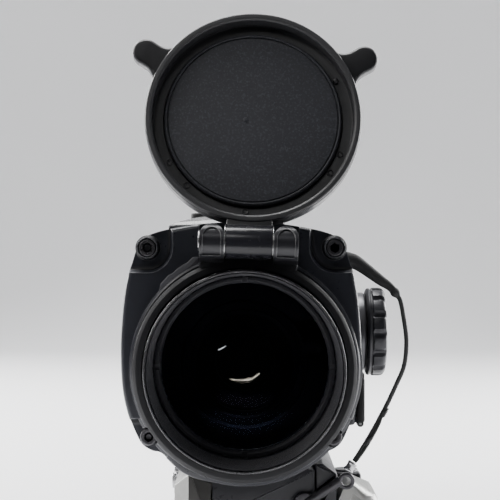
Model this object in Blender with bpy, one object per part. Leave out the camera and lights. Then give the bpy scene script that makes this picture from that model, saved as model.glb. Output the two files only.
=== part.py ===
"""Guide camera: boxy housing, 50 mm class objective with a sprung flip-up cover,
side focus knob driving a rack, top push buttons, side port flap and a quick-release
rail clamp.  Front faces -Y, +X is the knob side, +Z up.  The origin is the centre of
the clamp's seat; the lens axis runs 50 mm above it.

Lengths are millimetres.  Pieces are modelled with the lens axis on the Y axis and the
front of the bezel at y = 0, then moved to the seat's frame and scaled to metres."""

import math

import bmesh
import bpy
from mathutils import Matrix, Vector

for old in list(bpy.data.objects):
    bpy.data.objects.remove(old, do_unlink=True)

# ---------------------------------------------------------------- driving dimensions (mm)
MM = 0.001
GAP = 0.3                      # clearance between neighbouring pieces
LENS_Z = 50.0                  # lens axis above the clamp seat
SEAT_Y = 48.0                  # middle of the seat behind the front of the bezel
BODY_X = -1.15                 # body centre line, a little left of the lens axis

BEZEL_T = 10.0                 # front bezel thickness
GASKET_T = 0.7
JOINT = GASKET_T + 2 * GAP     # space that a gasket sits in
HOUSING_Y0 = BEZEL_T + JOINT   # housing front
HOUSING_Y1 = 95.0              # housing rear
COVER_Y0 = HOUSING_Y1 + JOINT  # rear cover front
COVER_Y1 = 102.0               # rear cover rear
WALL = 3.0                     # housing wall
SHRINK = -0.8                  # housing and rear cover sit inside the body outline

BORE_R = 31.0                  # hole for the barrel
BARREL_R = BORE_R - GAP        # objective barrel outside
LIP_Y = -14.5                  # front of the objective lip
BOSS_R = 35.3                  # raised ring round the bore

RING_R = 34.3                  # cover ring outside
RING_Y0, RING_Y1 = -9.0, -1.9
CLOCK = math.radians(1.9)      # cover ring is turned this much on the barrel
HINGE_Y, HINGE_Z = -11.0, 39.2  # cover hinge axis in the ring's own frame
OPEN = math.radians(191.5)     # closed to open
CUP_R, CUP_IN = 33.45, 31.1    # lens cover outside and inside radius
CUP_Y0, CUP_Y1 = -18.5, -9.5   # closed cover: floor outside, rim

KNOB_Y, KNOB_Z = 28.0, 10.0    # focus shaft axis (runs along X)
KNOB_AXIS = (0, KNOB_Y, KNOB_Z)
KNOB_R = 14.4
MODULE, TEETH = 0.5, 10        # focus pinion
PITCH_R = MODULE * TEETH / 2
ADDENDUM = 0.42                # tooth tip beyond the pitch line

SCREW_HOLE_R = 1.75
SCREWS = [(BODY_X + x, z)
          for x, z in ((-29.1, 37.45), (29.1, 37.45), (-28.6, -21.2), (28.6, -21.2))]

LEVER_X, LEVER_Y = 36.0, 62.0  # lever pivot (vertical)
BOLT_Z = -44.0                 # clamp bolt below the lens axis
BOLT_AXIS = (0, LEVER_Y, BOLT_Z)
BOLT_HOLE_R = 3.2
CLAMP_LENGTH = 60.0
CLAMP_Y0, CLAMP_Y1 = SEAT_Y - CLAMP_LENGTH / 2, SEAT_Y + CLAMP_LENGTH / 2

BIG = 36                       # sides of the large round pieces

# Right half of the body outline from top to bottom: x from the body centre line, z
HALF = [(0, 45.4), (12, 44.9), (22.3, 43.3), (27.2, 42.0), (30.2, 40.6), (32.0, 38.9),
        (32.9, 36.3), (33.9, 33.0), (35.0, 29.5), (36.3, 22.0), (37.1, 13.0), (37.4, 5.8),
        (37.2, -2.2), (36.6, -8.0), (35.5, -13.0), (34.2, -17.0), (32.0, -22.0),
        (30.2, -24.4), (27.5, -25.9), (24.5, -26.8), (18.2, -32.4), (10, -35.3), (0, -36.2)]

# ---------------------------------------------------------------- finishes
# Linear colour, roughness, metallic
BLACK = ((0.018, 0.018, 0.021), 0.5, 0.0)
ANOD = ((0.022, 0.022, 0.025), 0.35, 0.6)
PLASTIC = ((0.03, 0.03, 0.032), 0.6, 0.0)
RUBBER = ((0.015, 0.015, 0.015), 0.85, 0.0)
STEEL = ((0.32, 0.32, 0.33), 0.3, 1.0)
DARKSTEEL = ((0.05, 0.05, 0.055), 0.35, 1.0)
ALU = ((0.62, 0.62, 0.60), 0.35, 1.0)
GLASS = ((0.05, 0.06, 0.07), 0.03, 0.0)
PCB = ((0.01, 0.12, 0.05), 0.5, 0.0)
CHIP = ((0.02, 0.02, 0.05), 0.15, 0.0)
GREY = ((0.2, 0.2, 0.21), 0.6, 0.0)
AMBER = ((0.45, 0.22, 0.04), 0.5, 0.0)


def material(name, colour, roughness, metallic):
    result = bpy.data.materials.new(name)
    result.use_nodes = True
    inputs = result.node_tree.nodes["Principled BSDF"].inputs
    inputs["Base Color"].default_value = (*colour, 1)
    inputs["Roughness"].default_value = roughness
    inputs["Metallic"].default_value = metallic
    return result


# ---------------------------------------------------------------- shapes (each a bmesh)
def skin(rings, wrap=False):
    """Rings of points joined in order; ends capped unless wrapped round."""
    shape = bmesh.new()
    rows = [[shape.verts.new(point) for point in ring] for ring in rings]
    pairs = list(zip(rows, rows[1:]))
    if wrap:
        pairs.append((rows[-1], rows[0]))
    for near, far in pairs:
        for k in range(max(len(near), len(far))):
            quad = [near[k % len(near)], near[(k + 1) % len(near)],
                    far[(k + 1) % len(far)], far[k % len(far)]]
            # a ring of one point turns the quad into a triangle
            face = [vert for i, vert in enumerate(quad) if vert not in quad[:i]]
            if len(face) > 2:
                shape.faces.new(face)
    if not wrap:
        for row in (rows[0], rows[-1]):
            if len(row) > 2:
                shape.faces.new(row)
    bmesh.ops.recalc_face_normals(shape, faces=shape.faces)
    return shape


def circle(radius, sides, height, axis, centre):
    """Points round the axis; a zero radius gives one point."""
    points = []
    for k in range(sides if radius >= 1e-6 else 1):
        angle = 2 * math.pi * k / sides
        c, s = radius * math.cos(angle), radius * math.sin(angle)
        point = {"X": (height, c, s), "Y": (s, height, c), "Z": (c, s, height)}[axis]
        points.append(Vector(point) + Vector(centre))
    return points


def lathe(profile, sides, axis="Y", centre=(0, 0, 0), wrap=True):
    """Profile of (radius, height) turned round the axis."""
    return skin([circle(radius, sides, height, axis, centre) for radius, height in profile], wrap)


def rod(radius, start, end, sides, axis="Y", centre=(0, 0, 0), bevel=0.0):
    if bevel:
        profile = [(radius - bevel, start), (radius, start + bevel),
                   (radius, end - bevel), (radius - bevel, end)]
    else:
        profile = [(radius, start), (radius, end)]
    return lathe(profile, sides, axis, centre, wrap=False)


def block(low, high, bevel=0.0, axis="Y", seg=2):
    """Box from low to high; edges along the axis rounded, the end faces' edges too."""
    along = "XYZ".index(axis)
    across, up = [i for i in range(3) if i != along]
    start, end = low[along], high[along]
    sections = [(start, 0.0), (end, 0.0)]
    steps = 0
    if bevel:
        ease = min(bevel * 0.6, (end - start) / 4)
        sections = [(start, ease), (start + ease, 0.0), (end - ease, 0.0), (end, ease)]
        steps = seg
    rings = []
    for height, inset in sections:
        ring = []
        for side_a, side_b, first in ((1, 1, 0), (-1, 1, 90), (-1, -1, 180), (1, -1, 270)):
            centre_a = (high if side_a > 0 else low)[across] - side_a * bevel
            centre_b = (high if side_b > 0 else low)[up] - side_b * bevel
            for k in range(steps + 1):
                angle = math.radians(first + 90.0 * k / max(steps, 1))
                point = Vector((0, 0, 0))
                point[along] = height
                point[across] = centre_a + (bevel - inset) * math.cos(angle)
                point[up] = centre_b + (bevel - inset) * math.sin(angle)
                ring.append(point)
        rings.append(ring)
    return skin(rings)


def prism(outline, start, end, axis="Y", chamfer=0.0):
    """Outline of two-number points pushed along the axis."""
    def place(a, b, height):
        return Vector({"X": (height, a, b), "Y": (a, height, b), "Z": (a, b, height)}[axis])
    sections = [(outline, start + chamfer), (outline, end - chamfer)]
    if chamfer:
        inner = offset(outline, -chamfer)
        sections = [(inner, start)] + sections + [(inner, end)]
    return skin([[place(a, b, height) for a, b in points] for points, height in sections])


def offset(outline, distance):
    """Closed outline moved outwards by distance (inwards when negative)."""
    count = len(outline)
    following = outline[1:] + outline[:1]
    area = sum(p[0] * q[1] - q[0] * p[1] for p, q in zip(outline, following))
    side = 1 if area > 0 else -1
    moved_points = []
    for i in range(count):
        before, here, after = (Vector(outline[(i + k) % count]) for k in (-1, 0, 1))
        normals = [Vector((edge.y, -edge.x)).normalized() * side
                   for edge in (here - before, after - here)]
        mitre = (normals[0] + normals[1]).normalized()
        moved_points.append(tuple(here + mitre * distance / max(mitre.dot(normals[0]), 0.5)))
    return moved_points


def body_outline(distance):
    right = [(BODY_X + x, z) for x, z in HALF]
    left = [(BODY_X - x, z) for x, z in HALF[-2:0:-1]]
    return offset(right + left, distance)


def body_rings(stations):
    """Body outlines along Y; each station is (y, outline offset)."""
    return [[Vector((x, y, z)) for x, z in body_outline(distance)] for y, distance in stations]


def sweep(path, radii, sides):
    """Round tube along a path of points, capped; radii is one number or one per point."""
    points = [Vector(point) for point in path]
    if not isinstance(radii, list):
        radii = [radii] * len(points)
    last = len(points) - 1
    tangents = [(points[min(i + 1, last)] - points[max(i - 1, 0)]).normalized()
                for i in range(len(points))]
    normal = tangents[0].orthogonal().normalized()
    rings = []
    for point, tangent, radius in zip(points, tangents, radii):
        normal = (normal - tangent * normal.dot(tangent)).normalized()
        other = tangent.cross(normal)
        angles = [2 * math.pi * k / sides for k in range(sides)]
        rings.append([point + (normal * math.cos(angle) + other * math.sin(angle)) * radius
                      for angle in angles])
    return skin(rings)


def spline(points, per):
    """Catmull-Rom curve through the points, per steps to a span."""
    knots = [Vector(point) for point in points]
    knots = [2 * knots[0] - knots[1]] + knots + [2 * knots[-1] - knots[-2]]
    curve = []
    for before, start, end, after in zip(knots, knots[1:], knots[2:], knots[3:]):
        for k in range(per):
            t = k / per
            curve.append(0.5 * (2 * start + (end - before) * t
                                + (2 * before - 5 * start + 4 * end - after) * t * t
                                + (3 * start - before - 3 * end + after) * t ** 3))
    curve.append(knots[-2])
    return curve


def dome(radius, y, sag, steps):
    """Lens face profile from the axis outwards, moving by sag along Y at the rim."""
    return [(radius * k / steps, y + sag * (k / steps) ** 2) for k in range(steps + 1)]


def moved(shape, matrix):
    bmesh.ops.transform(shape, matrix=matrix, verts=shape.verts)
    return shape


# ---------------------------------------------------------------- objects
LIFT = Matrix.Translation((0, -SEAT_Y, LENS_Z))   # modelling frame to the seat's frame
CUT, ADD, COMMON = "DIFFERENCE", "UNION", "INTERSECT"


def link(name, shape, origin=(0, 0, 0)):
    spot = Vector(origin)
    moved(shape, Matrix.Translation(-spot))
    mesh = bpy.data.meshes.new(name)
    shape.to_mesh(mesh)
    shape.free()
    obj = bpy.data.objects.new(name, mesh)
    bpy.context.scene.collection.objects.link(obj)
    obj.location = LIFT @ spot
    return obj


def shade(mesh, smooth):
    mesh.shade_smooth()
    mesh.set_sharp_from_angle(angle=math.radians(smooth))


def make(name, shape, look, origin=(0, 0, 0), smooth=35):
    """Named piece; smooth is the sharp-edge angle in degrees, 0 for flat shading."""
    obj = link(name, shape, origin)
    obj.data.materials.append(material("mat_" + name, *look))
    if smooth:
        shade(obj.data, smooth)
    return obj


def tool(shape):
    """Helper that a boolean uses up."""
    obj = link("tool", shape)
    obj.hide_render = True
    return obj


def combine(obj, operation, helper, solver="EXACT"):
    """Apply one boolean and remove the helper."""
    modifier = obj.modifiers.new(operation, "BOOLEAN")
    modifier.operation = operation
    modifier.solver = solver
    modifier.object = helper
    bpy.context.view_layer.update()
    depsgraph = bpy.context.evaluated_depsgraph_get()
    mesh = bpy.data.meshes.new_from_object(obj.evaluated_get(depsgraph))
    obj.modifiers.clear()
    obj.data = mesh
    bpy.data.objects.remove(helper, do_unlink=True)


def solve(obj, steps, smooth=35, solver="EXACT"):
    """Each step is (operation, bmesh or helper object), applied one after another."""
    finish = obj.data.materials[0]
    for operation, shape in steps:
        helper = shape if isinstance(shape, bpy.types.Object) else tool(shape)
        combine(obj, operation, helper, solver)
    mesh = obj.data
    mesh.materials.clear()
    mesh.materials.append(finish)
    for polygon in mesh.polygons:
        polygon.material_index = 0
    shade(mesh, smooth)


# ---------------------------------------------------------------- front bezel
POCKET_Y = 3.5        # floor of the corner pockets
# Corner pockets: x from the body centre line, z, radius, +1 at the top or -1 at the bottom
POCKETS = [(29.1, 37.6, 7.3, 1), (28.6, -21.2, 5.2, -1)]


def pocket(side, centre_x, centre_z, radius, rise):
    """Cutter for a corner pocket: a round inner corner, open outwards."""
    reach = 14        # beyond the pocket's centre, clear of the body

    def ring(grow, y):
        wide = radius + grow
        points = []
        for k in range(6):
            angle = math.radians(90.0 * k / 5)
            points.append((centre_x - wide * math.cos(angle),
                           centre_z - rise * wide * math.sin(angle)))
        points += [(centre_x + reach, centre_z - rise * wide),
                   (centre_x + reach, centre_z + rise * reach),
                   (centre_x - wide, centre_z + rise * reach)]
        return [Vector((BODY_X + side * x, y, z)) for x, z in points]
    return skin([ring(1.5, -4.0), ring(0.5, 0.2), ring(0.0, POCKET_Y - 0.8), ring(-0.6, POCKET_Y)])


stations = [(0.0, -1.5), (0.45, -0.6), (1.4, 0.0), (BEZEL_T - 0.5, 0.0), (BEZEL_T, -0.4)]
boss = [(BOSS_R + 0.5, 0.6), (BOSS_R, -0.9), (BOSS_R - 0.7, -1.6), (29.0, -1.6), (29.0, 9.0),
        (BOSS_R + 0.5, 9.0)]
steps = [(CUT, pocket(side, *corner)) for corner in POCKETS for side in (-1, 1)]
steps += [(ADD, lathe(boss, BIG)),
          (CUT, block((-14.2, -3.0, 36.6), (16.9, 2.2, 50.0), 0.8)),    # room for the hinge
          (CUT, rod(BORE_R, -4.3, 12.6, BIG))]
for x, z in SCREWS:
    if z > 0:
        hole = rod(SCREW_HOLE_R, -4.6, 12.2, 12, centre=(x, 0, z))
    else:             # the lower heads are sunk in the pocket floor
        hole = lathe([(3.15, -3.7), (3.15, 3.3), (SCREW_HOLE_R, 3.3), (SCREW_HOLE_R, 12.2)], 12,
                     centre=(x, 0, z), wrap=False)
    steps.append((CUT, hole))
collar = [(2.9, 0.3), (3.25, 0.3), (3.25, 4.0), (2.9, 4.0)]     # round each upper head
steps += [(ADD, lathe(collar, 16, centre=(x, 0, z))) for x, z in SCREWS if z > 0]
solve(make("front_bezel", skin(body_rings(stations)), BLACK), steps)


# ---------------------------------------------------------------- gaskets
def gasket(name, start, end):
    stations = [(start, -1.5), (end, -1.5), (end, -3.1), (start, -3.1)]
    rings = [ring[::2] for ring in body_rings(stations)]
    steps = [(ADD, rod(2.9, start, end, 8, centre=(x, 0, z))) for x, z in SCREWS]
    steps += [(CUT, rod(1.9, start - 1, end + 1, 8, centre=(x, 0, z))) for x, z in SCREWS]
    solve(make(name, skin(rings, wrap=True), RUBBER), steps)


gasket("front_gasket", BEZEL_T + GAP, HOUSING_Y0 - GAP)
gasket("rear_gasket", HOUSING_Y1 + GAP, COVER_Y0 - GAP)

# ---------------------------------------------------------------- main housing
THREAD_DEPTH = 11     # cutter runs 1 mm more: 12 mm inside, 1 mm outside
SEAT_LOW, SEAT_HIGH = (-24.4, 13.0, 39.5), (13.0, 59.0, 44.8)   # seat of the control panel

stations = [(HOUSING_Y0, SHRINK - 0.4), (HOUSING_Y0 + 0.5, SHRINK),
            (HOUSING_Y1 - 0.5, SHRINK), (HOUSING_Y1, SHRINK - 0.4),
            (HOUSING_Y1, SHRINK - WALL), (HOUSING_Y0, SHRINK - WALL)]
steps = [(ADD, rod(3.0, HOUSING_Y0, HOUSING_Y1, 12, centre=(x, 0, z))) for x, z in SCREWS]
steps += [(ADD, block(SEAT_LOW, SEAT_HIGH, 1.0, "Z")),
          (ADD, rod(12.8, 31.5, 35.9, 28, "X", KNOB_AXIS)),                    # knob boss
          (ADD, block((31.9, 24.7, -20.6), (36.2, 52.5, -4.4), 1.6, "X")),     # port boss
          (CUT, rod(8.3, 28.0, 40.0, 20, "X", KNOB_AXIS)),                     # bushing hole
          (CUT, block((25.0, 26.7, -18.4), (40.0, 50.5, -6.4), 1.0, "X")),     # port opening
          (CUT, block((-19.0, 24.0, 30.0), (8.0, 48.0, 50.0), 1.0, "Z"))]      # button opening
for x, z in SCREWS:
    for start, end in ((HOUSING_Y0 - 1, HOUSING_Y0 + 12), (HOUSING_Y1 - 12, HOUSING_Y1 + 1)):
        steps.append((CUT, rod(SCREW_HOLE_R, start, end, 8, centre=(x, 0, z))))
# two shallow grip grooves along the left side
steps += [(CUT, block((-42.0, 22.0, z), (-37.0, 84.0, z + 3.0))) for z in (-4.0, 8.0)]
solve(make("main_housing", skin(body_rings(stations), wrap=True), BLACK), steps)

# ---------------------------------------------------------------- rear cover
RECESS_R, RECESS_Z = 22.0, 8.0     # round recess in the rear face
SLOT_R, SLOT_PITCH = 20.0, 5.0     # five level slots ending on a circle
SLOT_HALF = 1.1                    # half the slot height

stations = [(COVER_Y0, SHRINK - 0.4), (COVER_Y0 + 0.5, SHRINK), (COVER_Y1 - 1.6, SHRINK),
            (COVER_Y1 - 0.5, -1.4), (COVER_Y1, -2.4)]
steps = [(CUT, rod(RECESS_R, COVER_Y1 - 1.2, COVER_Y1 + 2, 32, centre=(BODY_X, 0, RECESS_Z)))]
for k in range(5):
    z = RECESS_Z + SLOT_PITCH * (2 - k)
    half = math.sqrt(SLOT_R ** 2 - (z - RECESS_Z) ** 2)
    steps.append((CUT, block((BODY_X - half, COVER_Y1 - 3.2, z - SLOT_HALF),
                             (BODY_X + half, COVER_Y1 + 1, z + SLOT_HALF))))
sunk_hole = [(SCREW_HOLE_R, COVER_Y0 - 2), (SCREW_HOLE_R, COVER_Y1 - 3.4),
             (3.1, COVER_Y1 - 3.4), (3.1, COVER_Y1 + 1)]
steps += [(CUT, lathe(sunk_hole, 12, centre=(x, 0, z), wrap=False)) for x, z in SCREWS]
solve(make("rear_cover", skin(body_rings(stations)), BLACK), steps)

# ---------------------------------------------------------------- housing screws
HEAD_LENGTH, HEAD_R = 3.0, 2.75
SOCKET_R, SOCKET_DEPTH = 1.45, 1.6
SHANK_R = 1.45


def screw(name, x, z, head_y, length, facing):
    """M3 socket-head screw along Y, one turned body; facing is the shank's direction."""
    tip = HEAD_LENGTH + length
    profile = [(0.0, SOCKET_DEPTH), (SOCKET_R, SOCKET_DEPTH), (SOCKET_R, 0), (2.4, 0),
               (HEAD_R, 0.35), (HEAD_R, HEAD_LENGTH), (SHANK_R, HEAD_LENGTH),
               (SHANK_R, tip), (0.0, tip)]
    profile = [(radius, head_y + facing * depth) for radius, depth in profile]
    make(name, lathe(profile, 10, centre=(x, 0, z), wrap=False), DARKSTEEL)


for k, (x, z) in enumerate(SCREWS, 1):
    screw("front_screw_%d" % k, x, z, head_y=0.2, length=13.0, facing=1)
    screw("rear_screw_%d" % k, x, z, head_y=COVER_Y1 - 0.1, length=10.0, facing=-1)

# ---------------------------------------------------------------- objective
barrel = [(30.2, LIP_Y), (BARREL_R, LIP_Y + 0.5), (BARREL_R, BEZEL_T + GAP),
          (31.4, BEZEL_T + GAP), (31.4, 13.0), (BARREL_R, 13.0), (BARREL_R, 18.0), (26.4, 18.0),
          (26.4, 14.0), (28.9, 14.0), (28.9, -1.0), (29.3, -1.4), (29.3, -7.0), (29.7, -7.4),
          (29.7, LIP_Y)]
make("objective_barrel", lathe(barrel, BIG), ANOD)
make("objective_lens",
     lathe(dome(28.5, 7.0, 2.8, 4) + dome(28.5, 15.2, -2.0, 3)[::-1], 36, wrap=False), GLASS)

# retaining ring with four notches in its front face
NOTCH_R = 27.2
retainer = [(28.4, 6.2), (28.4, 9.2), (25.8, 8.9), (25.8, 6.9), (26.5, 6.2)]
notches = [(0, NOTCH_R, 1.2, 2.4), (0, -NOTCH_R, 1.2, 2.4),     # x, z, half width, half height
           (NOTCH_R, 0, 2.4, 1.2), (-NOTCH_R, 0, 2.4, 1.2)]
solve(make("lens_retaining_ring", lathe(retainer, 36), ANOD),
      [(CUT, block((x - half_x, 4.0, z - half_z), (x + half_x, 7.6, z + half_z)))
       for x, z, half_x, half_z in notches])

# ---------------------------------------------------------------- focusing group
guide = [(30.4, 18.4), (30.4, 21.0), (23.2, 21.0), (23.2, 46.0), (20.4, 46.0), (20.4, 18.4)]
solve(make("focus_guide", lathe(guide, 32), ANOD),
      [(CUT, block((15.0, 16.5, 1.6), (26.4, 45.0, 14.0)))])    # slot for the rack

# lens cell with the rack along its +X side
RACK_HALF, RACK_BOTTOM = 7.2, 3.0
RACK_ROOT, RACK_TIP = KNOB_Z - PITCH_R - 0.62, KNOB_Z - PITCH_R + ADDENDUM
rack = [(KNOB_Y - RACK_HALF, RACK_ROOT)]
for k in range(-4, 5):
    middle = KNOB_Y + k * math.pi * MODULE
    rack += [(middle - 0.36, RACK_ROOT), (middle - 0.14, RACK_TIP),
             (middle + 0.14, RACK_TIP), (middle + 0.36, RACK_ROOT)]
rack.append((KNOB_Y + RACK_HALF, RACK_ROOT))
rack = [(KNOB_Y + RACK_HALF, RACK_BOTTOM)] + rack[::-1] + [(KNOB_Y - RACK_HALF, RACK_BOTTOM)]
cell = [(20.0, 23.0), (20.0, 37.0), (9.6, 37.0), (9.6, 35.0), (17.4, 35.0), (17.4, 23.0)]
solve(make("focus_cell", lathe(cell, 28), ANOD), [(ADD, prism(rack, 18.2, 24.4, "X"))])

make("focus_lens",
     lathe(dome(17.1, 28.4, 1.2, 3) + dome(17.1, 34.6, -0.4, 2)[::-1], 28, wrap=False), GLASS)
rear_lens = [(0, 35.6), (4.7, 35.5), (9.4, 35.2), (9.4, 36.8), (4.7, 37.1), (0, 37.2)]
make("rear_lens", lathe(rear_lens, 24, wrap=False), GLASS)
make("focus_lens_ring", lathe([(17.1, 26.6), (17.1, 29.0), (15.6, 28.7), (15.6, 26.6)], 28), ANOD)

# shaft: pinion, spindle and collar
ROOT_R, TIP_R = 1.85, PITCH_R + ADDENDUM
ROOT_ANGLE, TIP_ANGLE = 0.162, 0.055      # half the tooth's angle at root and tip, radians
pinion = []
for k in range(TEETH):
    middle = math.radians(-90 + 180 / TEETH + 360 / TEETH * k)
    for turn, radius in ((-ROOT_ANGLE, ROOT_R), (-TIP_ANGLE, TIP_R),
                         (TIP_ANGLE, TIP_R), (ROOT_ANGLE, ROOT_R)):
        pinion.append((KNOB_Y + radius * math.cos(middle + turn),
                       KNOB_Z + radius * math.sin(middle + turn)))
solve(make("focus_shaft", prism(pinion, 20.0, 24.0, "X"), STEEL, origin=KNOB_AXIS),
      [(ADD, rod(1.6, 19.6, 43.0, 16, "X", KNOB_AXIS)),
       (ADD, rod(2.4, 24.6, 25.8, 16, "X", KNOB_AXIS))])

SHAFT_HOLE_R = 1.95
bushing = [(SHAFT_HOLE_R, 29.5), (7.9, 29.5), (7.9, 36.2), (12.8, 36.2), (12.8, 38.3),
           (12.2, 38.9), (SHAFT_HOLE_R, 38.9)]
make("focus_bushing", lathe(bushing, 28, "X", KNOB_AXIS), ANOD)

# knob: shallow flutes round the rim, a recessed face, bore for the shaft
FLUTES, FLUTE_DEPTH = 14, 0.8


def knob_ring(radius, x, depth):
    """Ring round the knob axis with every fourth point sunk by depth."""
    points = []
    count = FLUTES * 4
    for k in range(count):
        angle = 2 * math.pi * k / count
        reach = radius - (depth if k % 4 == 0 else 0.0)
        points.append(Vector((x, KNOB_Y + reach * math.cos(angle),
                              KNOB_Z + reach * math.sin(angle))))
    return points


knob = skin([knob_ring(12.6, 39.3, 0), knob_ring(KNOB_R, 40.4, FLUTE_DEPTH),
             knob_ring(KNOB_R, 44.4, FLUTE_DEPTH), knob_ring(13.2, 45.6, 0)])
solve(make("focus_knob", knob, PLASTIC, origin=KNOB_AXIS),
      [(CUT, rod(11.0, 45.0, 50.0, 28, "X", KNOB_AXIS)),
       (CUT, rod(SHAFT_HOLE_R, 38.0, 43.4, 16, "X", KNOB_AXIS)),
       (CUT, rod(3.2, 43.3, 50.0, 20, "X", KNOB_AXIS))])
knob_screw = [(0.0, 44.1), (1.0, 44.1), (1.0, 45.4), (2.5, 45.4), (2.85, 45.0), (2.85, 43.7),
              (0.0, 43.7)]
make("knob_screw", lathe(knob_screw, 16, "X", KNOB_AXIS, wrap=False), DARKSTEEL, origin=KNOB_AXIS)


# ---------------------------------------------------------------- sensor stack
def plate(name, low, high, bevel, look, axis="Y"):
    """Flat-shaded block with single-step corners."""
    make(name, block(low, high, bevel, axis, seg=1), look, smooth=0)


solve(make("sensor_carrier", block((-22.5, 46.4, -22.5), (22.5, 49.4, 22.5), 3.0), ANOD),
      [(CUT, rod(14.0, 40, 55, 24))])
for k, (x, z) in enumerate(((-19, 19), (19, -19)), 1):
    make("sensor_standoff_%d" % k, rod(2.4, 49.7, 55.7, 6, centre=(x, 0, z)), STEEL, smooth=0)
plate("sensor_board", (-23.0, 56.0, -23.0), (23.0, 57.6, 23.0), 2.0, PCB)
plate("sensor_chip", (-9.0, 53.0, -7.5), (9.0, 55.7, 7.5), 0.4, CHIP)
plate("sensor_window", (-7.6, 51.8, -6.2), (7.6, 52.7, 6.2), 0.3, GLASS)
plate("main_board", (-26.0, 78.0, -20.0), (24.0, 79.6, 30.0), 2.0, PCB)

# ribbon between the boards, arched upwards: (y, z) of its middle line
FLEX = [(57.9, 8), (62, 8), (68, 11.5), (74, 8), (77.7, 8)]
FLEX_HALF_T = 0.2
curve = spline([(y, z, 0) for y, z in FLEX], 4)
ribbon = [(point.x, point.y + FLEX_HALF_T) for point in curve]
ribbon += [(point.x, point.y - FLEX_HALF_T) for point in reversed(curve)]
make("flex_cable", prism(ribbon, -8.0, 8.0, "X"), AMBER)

# ---------------------------------------------------------------- side ports
plate("port_board", (23.9, 25.8, -17.8), (25.4, 52.0, -5.6), 0.8, PCB, "X")
solve(make("usb_connector", block((25.8, 28.7, -14.6), (34.2, 37.9, -10.0), 1.4, "X"), STEEL),
      [(CUT, block((28.0, 29.5, -13.8), (36.0, 37.1, -10.8), 1.2, "X")),
       (ADD, block((27.0, 30.3, -12.6), (33.4, 36.3, -12.0)))])        # tongue
solve(make("guide_connector", block((25.8, 39.6, -16.6), (34.2, 48.5, -8.2), 0.6, "X"), GREY),
      [(CUT, block((28.5, 40.8, -15.4), (36.0, 47.3, -9.4), 0.3, "X"))])

# flap hinged along its lower edge
FLAP_X, FLAP_Z = 37.7, -20.0       # hinge axis
FLAP_Y0, FLAP_Y1 = 25.1, 52.1
FLAP_HINGE = (FLAP_X, 0, FLAP_Z)
flap = block((36.6, FLAP_Y0, FLAP_Z), (39.2, FLAP_Y1, -4.8), 1.2, "X")
solve(make("port_flap", flap, RUBBER, origin=(FLAP_X, (FLAP_Y0 + FLAP_Y1) / 2, FLAP_Z)),
      [(ADD, rod(1.15, FLAP_Y0 + 0.8, FLAP_Y1 - 0.8, 12, centre=FLAP_HINGE)),
       (ADD, block((34.8, 27.1, -18.0), (36.8, 50.1, -7.0), 0.8, "X")),    # plug
       (CUT, block((33.0, 28.4, -17.0), (35.6, 48.8, -8.0))),              # hollow in the plug
       (ADD, block((38.0, 35.5, -6.4), (39.8, 41.7, -4.2), 0.5, "X")),     # tab on the top edge
       (CUT, rod(0.7, 20, 60, 10, centre=FLAP_HINGE))])
make("flap_pin", rod(0.5, FLAP_Y0, FLAP_Y1, 8, centre=FLAP_HINGE), STEEL)

# ---------------------------------------------------------------- control panel and buttons
BUTTONS = [(-14.5, "a"), (-5.5, "b"), (3.5, "c")]      # x, name ending
BUTTON_Y, BUTTON_Z = 36.0, 43.0
PANEL_INSET = 0.2                                      # panel edge inside its seat

panel = block((SEAT_LOW[0] + PANEL_INSET, SEAT_LOW[1] + PANEL_INSET, SEAT_HIGH[2] + GAP),
              (SEAT_HIGH[0] - PANEL_INSET, SEAT_HIGH[1] - PANEL_INSET, 47.8), 1.4, "Z", seg=3)
solve(make("control_panel", panel, PLASTIC),
      [(CUT, rod(3.9, 43.0, 50.0, 20, "Z", (x, BUTTON_Y, 0))) for x, _ in BUTTONS])
button = [(0, BUTTON_Z), (1.3, BUTTON_Z), (1.3, 43.7), (4.4, 43.7), (4.4, 44.7), (3.6, 44.7),
          (3.6, 48.7), (3.1, 49.2), (0, 49.4)]
for x, tag in BUTTONS:
    make("button_" + tag, lathe(button, 14, "Z", (x, BUTTON_Y, 0), wrap=False), RUBBER,
         origin=(x, BUTTON_Y, BUTTON_Z))
board = block((-18.4, 26.0, 37.0), (7.4, 46.0, 38.6), 1.0, "Z", seg=1)
solve(make("switch_board", board, PCB),
      [(ADD, block((x - 2.6, 33.4, 38.0), (x + 2.6, 38.6, 41.0), 0.3, "Z", seg=1))
       for x, _ in BUTTONS]
      + [(ADD, rod(1.5, 40.5, 42.0, 12, "Z", (x, BUTTON_Y, 0))) for x, _ in BUTTONS], smooth=25)

# ---------------------------------------------------------------- cover ring and hinge
TURN = Matrix.Rotation(CLOCK, 4, "Y")
HINGE = Vector((0, HINGE_Y, HINGE_Z))
HINGE_ORIGIN = TURN @ HINGE
LUG_X, LUG_ARCH_R = 11.2, 3.7      # middle of each lug and its arch seen from the front


def hinge_lug(side):
    """Lug round about the hinge axis from the side, and arched from the front."""
    arch = [(side * LUG_X + LUG_ARCH_R * math.cos(math.radians(degrees)),
             HINGE_Z + 1.67 + LUG_ARCH_R * math.sin(math.radians(degrees)))
            for degrees in range(0, 181, 20)]
    arch += [(side * LUG_X - LUG_ARCH_R, 30.0), (side * LUG_X + LUG_ARCH_R, 30.0)]
    start, end = sorted((side * 7.0, side * 15.5))
    lug = tool(moved(rod(5.5, start, end, 28, "X", HINGE), TURN))
    combine(lug, COMMON, tool(moved(prism(arch, -20.0, -2.0), TURN)))
    return lug


cover_ring = [(BORE_R, RING_Y0 + 0.3), (BORE_R + 0.3, RING_Y0), (RING_R - 0.8, RING_Y0),
              (RING_R, RING_Y0 + 0.8), (RING_R, RING_Y1), (BORE_R, RING_Y1)]
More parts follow.
